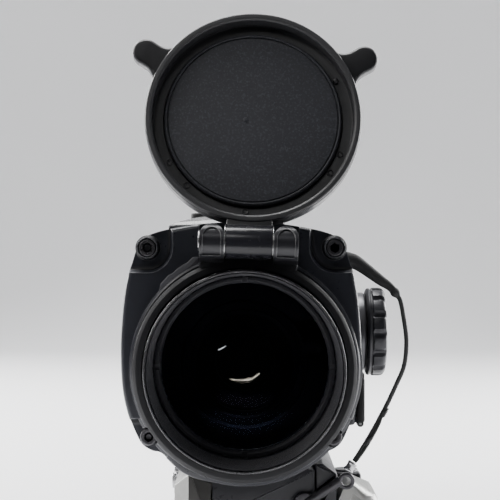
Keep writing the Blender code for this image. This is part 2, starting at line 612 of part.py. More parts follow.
# pad under the lugs: y, z
pad = [(RING_Y0, 32.0), (RING_Y1, 32.0), (RING_Y1, 35.2), (-4.5, 37.2), (RING_Y0, 37.6)]
steps = [(ADD, moved(prism(pad, -15.0, 15.0, "X"), TURN))]
steps += [(ADD, hinge_lug(side)) for side in (-1, 1)]
cutters = [rod(5.6, -7.4, 7.4, 28, "X", HINGE),                          # between the lugs
           block((-7.4, -22.0, 37.0), (7.4, RING_Y0 + 4.6, 50.0)),
           rod(BORE_R + 0.4, RING_Y0 - 1, RING_Y1 + 1, BIG),
           rod(1.55, -20, 20, 12, "X", HINGE),                           # pin hole
           rod(1.35, -40, -25, 12, "Z", (0, -5.5, 0))]                   # screw hole
steps += [(CUT, moved(cutter, TURN)) for cutter in cutters]
solve(make("cover_ring", moved(lathe(cover_ring, BIG), TURN), ANOD), steps)

ring_screw = [(0, -32.6), (0.6, -32.6), (0.6, -33.9), (1.1, -33.9), (1.1, -31.3), (0, -31.3)]
make("cover_ring_screw", moved(lathe(ring_screw, 10, "Z", (0, -5.5, 0), wrap=False), TURN),
     DARKSTEEL)
make("hinge_pin", moved(rod(1.25, -14.6, 14.6, 16, "X", HINGE), TURN), STEEL)

COIL_TURNS, COIL_STEPS = 3.5, 10   # steps to a turn
COIL_R, COIL_LENGTH, WIRE_R = 2.75, 5.0, 0.42
coil = []
for k in range(int(COIL_TURNS * COIL_STEPS) + 1):
    angle = 2 * math.pi * k / COIL_STEPS
    coil.append((-6.9 + COIL_LENGTH * k / (COIL_TURNS * COIL_STEPS),
                 HINGE_Y + COIL_R * math.cos(angle), HINGE_Z + COIL_R * math.sin(angle)))
make("hinge_spring", moved(sweep(coil, WIRE_R, 5), TURN), STEEL)

# ---------------------------------------------------------------- lens cover
# modelled closed, then swung open about the hinge
OPENED = (TURN @ Matrix.Translation(HINGE) @ Matrix.Rotation(-OPEN, 4, "X")
          @ Matrix.Translation(-HINGE))
cup = [(0, CUP_Y0), (31.2, CUP_Y0), (32.7, CUP_Y0 + 0.6), (CUP_R, CUP_Y0 + 1.9),
       (CUP_R, CUP_Y1 - 0.5), (CUP_R - 0.5, CUP_Y1), (CUP_IN + 0.7, CUP_Y1),
       (CUP_IN, CUP_Y1 - 0.7), (CUP_IN, -14.9), (27.8, -14.9), (27.8, -16.7), (0, -16.7)]
# thumb tab: distance out from the lens axis, distance sideways
TAB_ROOT = [(31.2, -7.4), (32.8, -6.3), (34.5, -4.9), (36.4, -4.15)]
TAB_R = 4.2
tab = TAB_ROOT + [(39.7 + TAB_R * math.cos(math.radians(degrees)),
                   TAB_R * math.sin(math.radians(degrees))) for degrees in range(-100, 101, 20)]
tab += [(out, -sideways) for out, sideways in reversed(TAB_ROOT)]
TAB_ANGLE = 59                     # degrees either side of the point opposite the hinge
steps = []
for side in (-1, 1):
    angle = math.radians(-90 + side * TAB_ANGLE)
    c, s = math.cos(angle), math.sin(angle)
    outline = [(out * c - sideways * s, out * s + sideways * c) for out, sideways in tab]
    steps.append((ADD, moved(prism(outline, -16.6, -12.0, chamfer=0.5), OPENED)))
KNUCKLE_X = 7.15                   # half the knuckle width
spring_bore = [(3.7, -8.3), (3.7, -1.4), (1.55, -1.4), (1.55, 12.4)]
steps += [(ADD, moved(rod(5.05, -KNUCKLE_X, KNUCKLE_X, 28, "X", HINGE, 0.3), OPENED)),
          (ADD, moved(block((-KNUCKLE_X, -15.2, 32.0), (KNUCKLE_X, -9.8, 38.6)), OPENED)),
          (CUT, moved(lathe(spring_bore, 16, "X", HINGE, wrap=False), OPENED))]
# the manifold solver keeps this body closed
solve(make("lens_cover", moved(lathe(cup, BIG, wrap=False), OPENED), PLASTIC,
           origin=HINGE_ORIGIN), steps, solver="MANIFOLD")
liner = [(0, -16.4), (27.4, -16.4), (27.4, -13.2), (27.0, -12.8), (26.6, -12.8), (26.5, -13.4),
         (26.2, -13.0), (0, -13.0)]
make("cover_liner", moved(lathe(liner, BIG, wrap=False), OPENED), RUBBER, origin=HINGE_ORIGIN)

# ---------------------------------------------------------------- rail clamp
SEAT = -LENS_Z
JAW_BOTTOM = SEAT - 9.0
# Groove for the rail on the +X side, going down: x, z; the other jaw mirrors it
DOVETAIL = [(10.9, SEAT - 2.8), (10.9, SEAT - 4.6), (8.9, SEAT - 6.6), (8.9, JAW_BOTTOM)]
BASE_X0, BASE_X1 = -10.5, 22.4
JAW_X = 22.8                       # inner face of the moving jaw

# the base's top follows the underside of the body
belly = sorted((x, z) for x, z in body_outline(-0.45) if z < -29.0 and abs(x - BODY_X) < 19.0)
base = [(BASE_X0, SEAT), (BASE_X0, next(z for x, z in belly if x > -11.5))]
base += [(x, z) for x, z in belly if -10.0 < x < 16.0]
base += [(18.2, -33.0), (BASE_X1, -34.2), (BASE_X1, SEAT + 0.4), (8.4, SEAT)]
solve(make("mount_base", prism(base, CLAMP_Y0, CLAMP_Y1), ANOD),
      [(CUT, rod(BOLT_HOLE_R, -30.0, 30.0, 20, "X", BOLT_AXIS))])

fixed_jaw = [(-23.0, -39.9), (-17.4, -34.9), (-10.6, -38.4), (-10.6, SEAT - 2.5)]
fixed_jaw += [(-x, z) for x, z in DOVETAIL] + [(-20.0, JAW_BOTTOM), (-23.0, SEAT - 6.5)]
front_corner = [(-30.0, 10.0), (-18.2, 10.0), (-18.2, CLAMP_Y0), (-23.0, CLAMP_Y0 + 6.5),
                (-30.0, CLAMP_Y0 + 6.5)]
solve(make("fixed_jaw", prism(fixed_jaw, CLAMP_Y0, CLAMP_Y1), ALU),
      [(CUT, prism(front_corner, -70.0, -30.0, "Z")),
       (CUT, rod(BOLT_HOLE_R, -30.0, 0.0, 20, "X", BOLT_AXIS)),
       (CUT, rod(6.2, -30.0, -20.6, 6, "X", BOLT_AXIS))])      # nut pocket

moving_jaw = [(JAW_X, -32.4), (25.3, -32.4), (29.8, -35.6), (29.8, SEAT - 6.5),
              (27.0, JAW_BOTTOM)]
moving_jaw += DOVETAIL[::-1] + [(8.7, SEAT - 0.5), (JAW_X, SEAT - 0.2)]
solve(make("moving_jaw", prism(moving_jaw, CLAMP_Y0 + 2, CLAMP_Y1 - 2), ANOD,
           origin=(JAW_X, LEVER_Y, BOLT_Z)),
      [(CUT, rod(BOLT_HOLE_R, 15.0, 35.0, 20, "X", BOLT_AXIS))])

# bolt with a flattened eye for the lever pin
EYE = 1.5                          # half the eye's thickness
PIVOT = (LEVER_X, LEVER_Y, 0)
solve(make("clamp_bolt", rod(2.7, -25.6, 33.0, 16, "X", BOLT_AXIS), STEEL),
      [(CUT, block((29.9, LEVER_Y - 6, BOLT_Z + EYE), (40.0, LEVER_Y + 6, BOLT_Z + 6))),
       (CUT, block((29.9, LEVER_Y - 6, BOLT_Z - 6), (40.0, LEVER_Y + 6, BOLT_Z - EYE))),
       (ADD, rod(2.9, BOLT_Z - EYE, BOLT_Z + EYE, 20, "Z", PIVOT)),
       (ADD, block((29.0, LEVER_Y - 2.2, BOLT_Z - EYE), (LEVER_X, LEVER_Y + 2.2, BOLT_Z + EYE))),
       (CUT, rod(1.7, BOLT_Z - 5, BOLT_Z + 5, 12, "Z", PIVOT))])
nut = [(3.35, -24.8), (3.35, -21.0), (5.7, -21.0), (5.7, -24.4), (5.3, -24.8)]
make("clamp_nut", lathe(nut, 6, "X", BOLT_AXIS), STEEL, smooth=0)

# lever: the arm's top ridge runs down towards the pivot
ARM_X = 30.3                       # inner face of the arm
# Arm section: x, z
ARM = [(ARM_X, -43.4), (33.6, -36.6), (35.6, -36.6), (42.6, -42.4), (43.4, -44.4),
       (43.4, -51.6), (41.0, -53.4), (ARM_X, -53.4)]
# Stations: y, scale of the width, of the height above the bolt, of the depth below it
ARM_STATIONS = [(19.0, 0.72, 0.86, 0.75), (22.0, 1.0, 0.84, 1.0), (59.5, 1.0, 0.44, 1.0)]
arm = [[Vector((ARM_X + (x - ARM_X) * wide, y,
                BOLT_Z + (z - BOLT_Z) * (above if z > BOLT_Z else below))) for x, z in ARM]
       for y, wide, above, below in ARM_STATIONS]
solve(make("clamp_lever", skin(arm), ALU, origin=(LEVER_X, LEVER_Y, BOLT_Z)),
      [(ADD, rod(4.5, -53.0, -39.6, 28, "Z", (LEVER_X - 1.2, LEVER_Y - 1.8, 0), 0.5)),
       (ADD, block((33.2, 52.7, -52.8), (38.6, 61.0, -39.8))),
       (CUT, block((24.0, LEVER_Y - 6.4, BOLT_Z - 1.9), (48.0, LEVER_Y + 12, BOLT_Z + 1.9))),
       (CUT, rod(1.75, -60, -30, 12, "Z", PIVOT))])
make("lever_pin", rod(1.4, -53.6, -39.1, 12, "Z", PIVOT), STEEL)

# ---------------------------------------------------------------- tether
TETHER_Y = 15.0
# Middle lines from top to bottom: x, z
BOOT = [(32.6, 33.65), (35.0, 33.6), (38.1, 31.2), (43.0, 27.3), (46.4, 25.0), (48.9, 22.0)]
CORD = [(48.98, 21.9), (49.6, 20.5), (50.5, 16.5), (51.6, 8.0), (50.9, 0.0), (48.3, -6.4),
        (44.6, -14.2), (40.0, -22.6), (36.4, -28.4), (34.9, -30.8)]


def tether_curve(points):
    return spline([(x, TETHER_Y, z) for x, z in points], 3)


def boot_radius(part):
    """Taper along the boot, part running 0 to 1, with a slight swelling after a quarter."""
    swelling = 0.12 * max(0.0, math.sin(math.pi * (part - 0.25) / 0.75))
    return 3.1 - 1.9 * part ** 0.75 + swelling


boot = tether_curve(BOOT)
radii = [boot_radius(k / (len(boot) - 1)) for k in range(len(boot))]
make("tether_boot", sweep(boot, radii, 12), RUBBER)
make("tether_cord", sweep(tether_curve(CORD), 0.7, 6), RUBBER)
tilt = Matrix.Rotation(math.radians(34), 4, "Y")
make("tether_crimp", moved(rod(1.6, -1.2, 1.9, 12, "Z", bevel=0.4),
                           Matrix.Translation((33.6, TETHER_Y, -32.7)) @ tilt), STEEL)

# disc in front of the clamp base, with an arm out to an eye
ANCHOR_X, ANCHOR_Z = 19.2, -44.6
disc = rod(3.6, 15.2, CLAMP_Y0 - GAP, 20, centre=(ANCHOR_X, 0, ANCHOR_Z), bevel=0.4)
eye = [(2.6, -0.9), (2.6, 0.9), (1.4, 0.9), (1.4, -0.9)]
solve(make("tether_anchor", disc, DARKSTEEL),
      [(ADD, sweep([(ANCHOR_X, 15.6, ANCHOR_Z), (30.6, TETHER_Y, -37.0)], 1.5, 12)),
       (ADD, lathe(eye, 16, centre=(32.4, TETHER_Y, -37.1)))])

# everything above is in millimetres; the scene is in metres
for obj in bpy.data.objects:
    obj.data.transform(Matrix.Scale(MM, 4))
    obj.location *= MM
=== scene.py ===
"""Visual model of a guide camera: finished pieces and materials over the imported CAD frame.

Pieces are drawn in millimetres about the lens axis: x to the right as seen from the front,
y from the front face of the bezel (y = 0) to the rear, z up. `piece` then places each one in
the row frame, in metres. The lens cover is drawn shut and swung open about its hinge.
"""

import math

import bmesh
import bpy
from mathutils import Matrix, Vector


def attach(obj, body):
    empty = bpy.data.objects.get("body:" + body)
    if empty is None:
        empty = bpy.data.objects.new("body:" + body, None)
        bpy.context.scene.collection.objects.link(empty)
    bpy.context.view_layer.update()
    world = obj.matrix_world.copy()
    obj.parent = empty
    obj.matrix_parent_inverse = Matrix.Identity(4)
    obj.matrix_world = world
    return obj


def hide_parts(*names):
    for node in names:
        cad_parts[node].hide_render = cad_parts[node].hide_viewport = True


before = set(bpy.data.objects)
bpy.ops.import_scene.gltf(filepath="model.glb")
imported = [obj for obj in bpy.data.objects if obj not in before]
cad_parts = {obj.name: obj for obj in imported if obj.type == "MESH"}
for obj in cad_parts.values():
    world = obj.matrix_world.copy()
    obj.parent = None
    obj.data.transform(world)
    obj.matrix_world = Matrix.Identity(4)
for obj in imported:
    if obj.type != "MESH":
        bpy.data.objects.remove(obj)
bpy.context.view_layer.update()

# Where the bezel face and the lens axis lie in the row frame, in mm.
FACE_Y, LENS_Z = -48, 50
TO_FRAME = Matrix.Scale(0.001, 4) @ Matrix.Translation((0, FACE_Y, LENS_Z))

# The hinge ring is clocked about the lens axis; the cover then swings open about the hinge.
HINGE = Vector((0, -11.0, 39.2))
CLOCKED = Matrix.Rotation(math.radians(1.9), 4, "Y")
SWING = Matrix.Rotation(-math.radians(191.5), 4, "X")
OPENED = CLOCKED @ Matrix.Translation(HINGE) @ SWING @ Matrix.Translation(-HINGE)

# The body's mid-plane and its four corner screws; x of the screws from the mid-plane.
BODY_X = -1.15
TOP_SCREW = (29.1, 37.45)
LOW_SCREW = (28.6, -21.2)
SCREWS = [(BODY_X + side * x, z) for x, z in (TOP_SCREW, LOW_SCREW) for side in (-1, 1)]
SCREW_HOLE_R = 1.75

KNOB_Y, KNOB_Z = 28.0, 10.0
KNOB = (0, KNOB_Y, KNOB_Z)
BOLT = (0, 62, -44)                 # a point on the clamp bolt's axis, which runs along x
LEVER = (36, BOLT[1], 0)            # a point on the lever pin's axis, which runs along z
KEY_XS = [-14.5 + 9.0 * k for k in range(3)]
KEY_Y = 36.0
TETHER_Y = 15.0

# Right half of the body outline from the top down: distance from the mid-plane, z.
HALF_BODY = [
    (0, 45.4), (12, 44.9), (22.3, 43.3), (27.2, 42.0), (30.2, 40.6), (32.0, 38.9),
    (32.9, 36.3), (33.9, 33.0), (35.0, 29.5), (36.3, 22.0), (37.1, 13.0), (37.4, 5.8),
    (37.2, -2.2), (36.6, -8.0), (35.5, -13.0), (34.2, -17.0), (32.0, -22.0),
    (30.2, -24.4), (27.5, -25.9), (24.5, -26.8), (18.2, -32.4), (10, -35.3), (0, -36.2)]

CUT, ADD, KEEP = "DIFFERENCE", "UNION", "INTERSECT"


# ------------------------------------------------------------------ material helpers
class Nodes:
    """A material and short ways to add nodes to its tree."""

    def __init__(self, name):
        self.mat = bpy.data.materials.new(name)
        self.mat.use_nodes = True
        self.tree = self.mat.node_tree
        self.bsdf = self.tree.nodes["Principled BSDF"]

    def feed(self, socket, value):
        """Link a socket or set a value; colours are given as three numbers."""
        if isinstance(value, bpy.types.NodeSocket):
            self.tree.links.new(value, socket)
        else:
            socket.default_value = (*value, 1) if socket.type == "RGBA" else value

    def add(self, kind, inputs=None, **settings):
        node = self.tree.nodes.new(kind)
        for key, value in settings.items():
            setattr(node, key, value)
        for key, value in (inputs or {}).items():
            self.feed(node.inputs[key], value)
        return node

    def shade(self, inputs):
        for key, value in inputs.items():
            self.feed(self.bsdf.inputs[key], value)

    def coords(self, stretch=(1, 1, 1)):
        place = self.add("ShaderNodeTexCoord").outputs["Object"]
        mapping = self.add("ShaderNodeMapping", {"Scale": stretch, "Vector": place})
        return mapping.outputs["Vector"]

    def noise(self, vector, scale, detail, rough=0.6):
        values = {"Scale": scale, "Detail": detail, "Roughness": rough, "Vector": vector}
        return self.add("ShaderNodeTexNoise", values).outputs["Fac"]

    def spread(self, value, source, target):
        """Map the source range to the target range, clamped."""
        values = {"From Min": source[0], "From Max": source[1],
                  "To Min": target[0], "To Max": target[1], "Value": value}
        return self.add("ShaderNodeMapRange", values).outputs["Result"]

    def maths(self, operation, *values):
        return self.add("ShaderNodeMath", dict(enumerate(values)), operation=operation).outputs[0]

    def mix(self, factor, first, second):
        # sockets 6 and 7 and output 2 are the node's colour ones
        values = {0: factor, 6: first, 7: second}
        return self.add("ShaderNodeMix", values, data_type="RGBA").outputs[2]

    def rounded_normal(self, radius):
        return self.add("ShaderNodeBevel", {"Radius": radius}, samples=4).outputs["Normal"]

    def edge_mask(self, rounded):
        """1 on edges, 0 on flats, from the difference a rounded normal makes."""
        flat = self.add("ShaderNodeNewGeometry").outputs["Normal"]
        dot = self.add("ShaderNodeVectorMath", {0: rounded, 1: flat}, operation="DOT_PRODUCT")
        return self.spread(dot.outputs["Value"], (0.995, 0.9), (0.0, 1.0))

    def bumps(self, layers, normal):
        """Height layers of (socket, strength, distance in metres) over a normal."""
        for height, strength, distance in layers:
            values = {"Strength": strength, "Distance": distance,
                      "Height": height, "Normal": normal}
            normal = self.add("ShaderNodeBump", values).outputs["Normal"]
        self.shade({"Normal": normal})

    def turning_marks(self, axis, centre):
        """Height of fine tool rings about an axis of the row frame."""
        place = self.add("ShaderNodeSeparateXYZ", {0: self.coords()}).outputs
        squares = []
        for letter, middle in zip([a for a in "XYZ" if a != axis], centre):
            away = self.maths("SUBTRACT", place[letter], middle)
            squares.append(self.maths("MULTIPLY", away, away))
        distance = self.maths("SQRT", self.maths("ADD", *squares))
        along = self.maths("ADD", distance, self.maths("MULTIPLY", place[axis], 1.0))
        waves = [self.maths("SINE", self.maths("MULTIPLY", along, 2 * math.pi / pitch))
                 for pitch in (0.00022, 0.00061)]
        return self.maths("ADD", *waves)


BLOTCH = 0.12                       # how far the base colour drifts either way
MIDDLE = (0.3, 0.7)                 # the part of a noise's range that is used


def surface(name, colour, rough, metal, grain, grain_size, bevel, edge_wear_and_sheen=None, tint=None,
            coat=0.0, brushed=None, turned=None, spec=0.5, speckle=None, dusty=True):
    """Colour and roughness that vary, grain, rounded edges that wear and also carry a painted
    highlight, optional tool marks.
    """
    n = Nodes(name)
    place = n.coords()
    wide = n.noise(place, scale=35.0, detail=4.0)
    fine = n.noise(place, scale=420.0, detail=3.0)

    low = tuple(c * (1 - BLOTCH) for c in colour)
    high = tuple(min(1.0, c * (1 + BLOTCH) + 0.002) for c in (tint or colour))
    shade = n.mix(n.spread(wide, MIDDLE, (0.0, 1.0)), low, high)
    if dusty:
        dust = n.noise(place, scale=2600.0, detail=2.0, rough=0.7)
        specks = n.spread(dust, (0.74, 0.8), (0.0, 0.16 if metal < 0.5 else 0.08))
        shade = n.mix(specks, shade, tuple(min(1.0, c * 1.8 + 0.02) for c in colour))
    if speckle is not None:
        scale, amount = speckle
        dots = n.noise(place, scale, detail=2.0)
        shade = n.mix(n.spread(dots, (0.52, 0.68), (0.0, amount)), shade,
                      tuple(c * 2.4 for c in colour))

    normal = n.rounded_normal(bevel * 0.001)
    roughness = n.spread(fine, (0.25, 0.75), (max(0.02, rough - 0.07), rough + 0.07))
    roughness = n.maths("ADD", roughness, n.spread(wide, MIDDLE, (-0.04, 0.04)))
    if edge_wear_and_sheen is not None:
        bare, amount, bare_rough = edge_wear_and_sheen
        chips = n.noise(place, scale=700.0, detail=4.0)
        # pale edges: partly wear, partly a painted highlight, since every edge gets some of the
        # bare colour
        wear_and_sheen_mask = n.maths("MULTIPLY", n.edge_mask(normal),
                       n.spread(chips, (0.36, 0.56), (0.35 * amount, amount)))
        shade = n.mix(wear_and_sheen_mask, shade, bare)
        if bare_rough is not None:
            change = n.maths("MULTIPLY", wear_and_sheen_mask, bare_rough - rough)
            roughness = n.maths("ADD", roughness, change)

    layers = []                     # height, strength, distance
    if brushed is not None:
        marks = n.noise(n.coords(brushed), scale=55.0, detail=4.0)
        layers.append((marks, 0.18, 0.00006))
        roughness = n.maths("ADD", roughness, n.spread(marks, MIDDLE, (-0.06, 0.08)))
    if turned is not None:
        layers.append((n.turning_marks(*turned), 0.045, 0.00002))
    if grain:
        bumps = n.noise(place, scale=1000.0 / grain_size, detail=2.0, rough=0.5)
        layers.append((bumps, grain, 0.00008))
    layers.append((fine, 0.04, 0.0001))
    n.bumps(layers, normal)
    n.shade({"Base Color": shade, "Roughness": roughness, "Metallic": metal,
             "Specular IOR Level": spec})
    if coat:
        n.shade({"Coat Weight": coat, "Coat Roughness": 0.25})
    return n.mat


def glass(name, tint, level, residual):
    """Coated glass: a coloured residual reflection and a slight smear."""
    n = Nodes(name)
    smear = n.noise(n.coords(), scale=60.0, detail=4.0)
    stained = n.mix(n.spread(smear, (0.4, 0.7), (0.0, 1.0)), tint, tuple(c * 0.97 for c in tint))
    n.shade({"Roughness": n.spread(smear, (0.5, 0.8), (0.0, 0.008)), "Base Color": stained,
             "Transmission Weight": 1.0, "IOR": 1.5, "Specular IOR Level": level,
             "Specular Tint": residual})
    # shadow and diffuse rays pass straight through, so the inside is lit without speckle
    clear = n.add("ShaderNodeBsdfTransparent", {"Color": tuple(c * 0.8 for c in tint)})
    ray = n.add("ShaderNodeLightPath").outputs
    passes = n.maths("MAXIMUM", ray["Is Shadow Ray"], ray["Is Diffuse Ray"])
    both = n.add("ShaderNodeMixShader", {0: passes, 1: n.bsdf.outputs[0], 2: clear.outputs[0]})
    n.feed(n.tree.nodes["Material Output"].inputs["Surface"], both.outputs[0])
    return n.mat


# ------------------------------------------------------------------ materials
# name, colour, roughness, metallic, grain strength, grain size (mm), edge radius (mm),
# then, where edges wear and also carry a painted highlight: (bare colour, amount, bare roughness
# or None)
SURFACES = {
    "paint": ("satin_black_paint", (0.016, 0.017, 0.023), 0.33, 0.0, 0.20, 0.22, 0.3,
              ((0.23, 0.23, 0.24), 0.8, 0.26)),
    # paler than the bezel paint: a painted highlight on the web
    "web": ("web_painted_highlight", (0.075, 0.075, 0.085), 0.36, 0.0, 0.20, 0.22, 0.2,
            ((0.25, 0.25, 0.26), 0.8, None)),
    # near-black paint that is painted shade, for faces that lie in shade
    "pocket": ("painted_shade_paint", (0.009, 0.009, 0.011), 0.5, 0.0, 0.25, 0.22, 0.2),
    "anodise": ("black_anodise_turned", (0.017, 0.017, 0.020), 0.30, 0.55, 0.0, 0.3, 0.25,
                ((0.50, 0.50, 0.52), 0.75, 0.25)),
    "anodise_plain": ("black_anodise", (0.018, 0.018, 0.022), 0.32, 0.2, 0.12, 0.18, 0.28,
                      ((0.40, 0.40, 0.41), 0.7, 0.26)),
    "knob_metal": ("black_anodise_knob", (0.025, 0.025, 0.030), 0.36, 0.25, 0.1, 0.2, 0.2,
                   ((0.2, 0.2, 0.21), 0.4, None)),
    "plastic": ("moulded_black", (0.026, 0.026, 0.029), 0.42, 0.0, 0.12, 0.3, 0.28,
                ((0.20, 0.20, 0.20), 0.6, None)),
    "panel": ("glossy_panel", (0.03, 0.03, 0.033), 0.30, 0.0, 0.05, 0.3, 0.25,
              ((0.2, 0.2, 0.2), 0.5, None)),
    "liner": ("grained_liner", (0.027, 0.028, 0.034), 0.60, 0.0, 1.0, 0.9, 0.1,
              ((0.15, 0.15, 0.15), 0.5, None)),
    "rubber": ("soft_rubber", (0.016, 0.016, 0.017), 0.72, 0.0, 0.3, 0.35, 0.25,
               ((0.06, 0.06, 0.06), 0.3, None)),
    "cord": ("cord_black", (0.030, 0.030, 0.031), 0.62, 0.0, 0.5, 0.12, 0.1),
    "steel": ("turned_steel", (0.50, 0.50, 0.51), 0.26, 1.0, 0.05, 0.2, 0.12,
              ((0.7, 0.7, 0.7), 0.4, None)),
    "screw": ("blackened_screw", (0.060, 0.058, 0.064), 0.32, 0.6, 0.1, 0.2, 0.12,
              ((0.4, 0.39, 0.38), 0.6, 0.25)),
    "alu": ("light_aluminium", (0.26, 0.26, 0.25), 0.38, 1.0, 0.16, 0.16, 0.3,
            ((0.68, 0.68, 0.67), 0.5, 0.24)),
    "olive": ("grey_hard_anodise", (0.045, 0.044, 0.042), 0.42, 0.6, 0.2, 0.2, 0.3,
              ((0.62, 0.61, 0.58), 0.6, 0.28)),
    # near-black inside the barrel: partly the parts' own matte black, partly painted shade
    "inner": ("flocked_black_and_painted_shade", (0.005, 0.005, 0.007), 0.85, 0.0, 0.1, 0.4, 0.1),
    "baffle": ("baffle_black", (0.022, 0.022, 0.027), 0.45, 0.0, 0.1, 0.2, 0.12,
               ((0.09, 0.09, 0.10), 0.5, None)),
    "pcb": ("solder_resist", (0.012, 0.10, 0.045), 0.35, 0.0, 0.15, 0.5, 0.1),
    "chip": ("package_black", (0.03, 0.03, 0.035), 0.4, 0.0, 0.15, 0.2, 0.1),
    "grey": ("moulded_grey", (0.17, 0.17, 0.18), 0.5, 0.0, 0.15, 0.3, 0.15),
    "amber": ("polyimide_film", (0.42, 0.2, 0.04), 0.3, 0.0, 0.05, 0.3, 0.05),
    "pale": ("pale_ink", (0.45, 0.45, 0.44), 0.5, 0.0, 0.1, 0.2, 0.05),
    # painted reflections: bright metal for the pieces that stand in for the crescent and glint in
    # the lens
    "clip": ("painted_crescent_reflection", (0.62, 0.55, 0.44), 0.16, 1.0, 0.0, 0.3, 0.05),
    "tip": ("painted_glint_reflection", (0.9, 0.9, 0.9), 0.10, 1.0, 0.0, 0.3, 0.05),
    "neck": ("grey_anodise", (0.11, 0.11, 0.12), 0.36, 0.5, 0.1, 0.2, 0.25,
             ((0.4, 0.4, 0.42), 0.6, None)),
    "barrel": ("glossy_barrel", (0.014, 0.014, 0.018), 0.24, 0.0, 0.05, 0.3, 0.2),
}
# Turning axis and its place in the row frame, in metres.
LENS_TURNED = ("Y", (0.0, LENS_Z / 1000))
KNOB_TURNED = ("X", ((KNOB_Y + FACE_Y) / 1000, (KNOB_Z + LENS_Z) / 1000))
# What only some surfaces have; speckle is (noise scale, amount).
EXTRAS = {
    "pocket": dict(spec=0.3),
    "anodise": dict(turned=LENS_TURNED),
    "knob_metal": dict(turned=KNOB_TURNED),
    "panel": dict(coat=1.0),
    "liner": dict(spec=0.4, speckle=(1500.0, 0.55)),
    "rubber": dict(spec=0.35),
    "cord": dict(spec=0.4),
    "alu": dict(brushed=(60, 1, 60)),
    "inner": dict(spec=0.08, dusty=False),
    "baffle": dict(spec=0.45),
    "pcb": dict(tint=(0.02, 0.14, 0.06)),
    "neck": dict(turned=KNOB_TURNED),
    "barrel": dict(spec=0.35),
}
# name, tint, specular level, residual reflection colour
GLASSES = {
    "lens": ("coated_objective", (0.90, 0.93, 0.97), 0.5, (0.018, 0.026, 0.048)),
    "lens2": ("coated_inner_lens", (0.95, 0.93, 0.90), 0.5, (0.05, 0.045, 0.07)),
    "lens3": ("coated_rear_lens", (0.6, 0.57, 0.52), 0.5, (0.09, 0.08, 0.07)),
    "window": ("sensor_glass", (0.9, 0.95, 0.95), 0.4, (0.6, 0.8, 1.0)),
}
MATERIALS = {key: surface(*row, **EXTRAS.get(key, {})) for key, row in SURFACES.items()}
MATERIALS.update({key: glass(*row) for key, row in GLASSES.items()})


# ------------------------------------------------------------------ outlines and rings
def soften(profile, radius=0.3, seg=3, closed=True):
    """Polygon with its corners rounded; a point may carry its own radius."""
    out = []
    n = len(profile)
    for i, point in enumerate(profile):
        corner = Vector(point[:2])
        own = point[2] if len(point) > 2 else radius
        before = Vector(profile[i - 1][:2]) - corner
        after = Vector(profile[(i + 1) % n][:2]) - corner
        len_a, len_b = before.length, after.length
        is_end = not closed and i in (0, n - 1)
        if is_end or own <= 0 or len_a < 1e-6 or len_b < 1e-6:
            out.append(tuple(corner))
            continue
        before /= len_a
        after /= len_b
        angle = math.acos(max(-1, min(1, before.dot(after))))
        if angle > math.radians(172):
            out.append(tuple(corner))
            continue
        reach = min(own / math.tan(angle / 2), len_a * 0.45, len_b * 0.45)
        for k in range(seg + 1):
            s = k / seg
            out.append(tuple((corner + before * reach) * (1 - s) ** 2 + corner * (2 * s * (1 - s))
                             + (corner + after * reach) * s * s))
    return out


def offset(outline, distance):
    """Closed outline moved outwards by a distance."""
    n = len(outline)
    area = sum(outline[i][0] * outline[(i + 1) % n][1] - outline[(i + 1) % n][0] * outline[i][1]
               for i in range(n))
    side = 1 if area > 0 else -1
    out = []
    for i in range(n):
        last, here, following = (Vector(outline[(i + k) % n][:2]) for k in (-1, 0, 1))
        normals = [Vector((run.y, -run.x)).normalized() * side
                   for run in (here - last, following - here)]
        mitre = (normals[0] + normals[1]).normalized()
        out.append(tuple(here + mitre * distance / max(mitre.dot(normals[0]), 0.5)))
    return out


def spline(points, per, closed=False):
    """Smooth curve through the points, with `per` steps to each span."""
    p = [Vector(q) for q in points]
    if closed:
        q = [p[-1]] + p + [p[0], p[1]]
    else:
        q = [2 * p[0] - p[1]] + p + [2 * p[-1] - p[-2]]
    out = []
    for i in range(1, len(q) - 2):
        for k in range(per):
            t = k / per
            out.append(0.5 * (2 * q[i] + (q[i + 1] - q[i - 1]) * t
                              + (2 * q[i - 1] - 5 * q[i] + 4 * q[i + 1] - q[i + 2]) * t * t
                              + (3 * q[i] - q[i - 1] - 3 * q[i + 1] + q[i + 2]) * t ** 3))
    if not closed:
        out.append(p[-1])
    return out


def arc(x, z, radius, degrees):
    return [(x + radius * math.cos(math.radians(a)), z + radius * math.sin(math.radians(a)))
            for a in degrees]


def quarter(edge, seg):
    """Sections of a rounded end edge as (outline offset, distance along)."""
    if not edge:
        return [(0.0, 0.0)]
    turns = [math.pi / 2 * k / seg for k in range(seg + 1)]
    return [(-edge * (1 - math.sin(a)), edge * (1 - math.cos(a))) for a in turns]


def place_on(point, h, axis):
    """Flat point set at h along an axis."""
    a, b = point
    return Vector({"X": (h, a, b), "Y": (a, h, b), "Z": (a, b, h)}[axis])


def body_outline(grow=0.0):
    right = [(BODY_X + x, z, 0) for x, z in HALF_BODY]
    left = [(BODY_X - x, z, 0) for x, z in HALF_BODY[-2:0:-1]]
    points = [(p.x, p.y) for p in spline(right + left, 5, True)]
    return offset(points, grow) if grow else points


def body_rings(sections):
    """Rings of the body outline from sections of (y, outline offset)."""
    return [[place_on(p, y, "Y") for p in body_outline(grow)] for y, grow in sections]


def circle(radius, n, h, axis="Y", at=(0, 0, 0), shape=None):
    """Ring of n points, or one point at no radius; shape(angle) adds to the radius."""
    points = []
    for k in range(1 if radius < 1e-6 else n):
        t = 2 * math.pi * k / n
        r = radius + shape(t) if shape else radius
        c, s = r * math.cos(t), r * math.sin(t)
        spot = {"X": (h, c, s), "Y": (s, h, c), "Z": (c, s, h)}[axis]
        points.append(Vector(spot) + Vector(at))
    return points


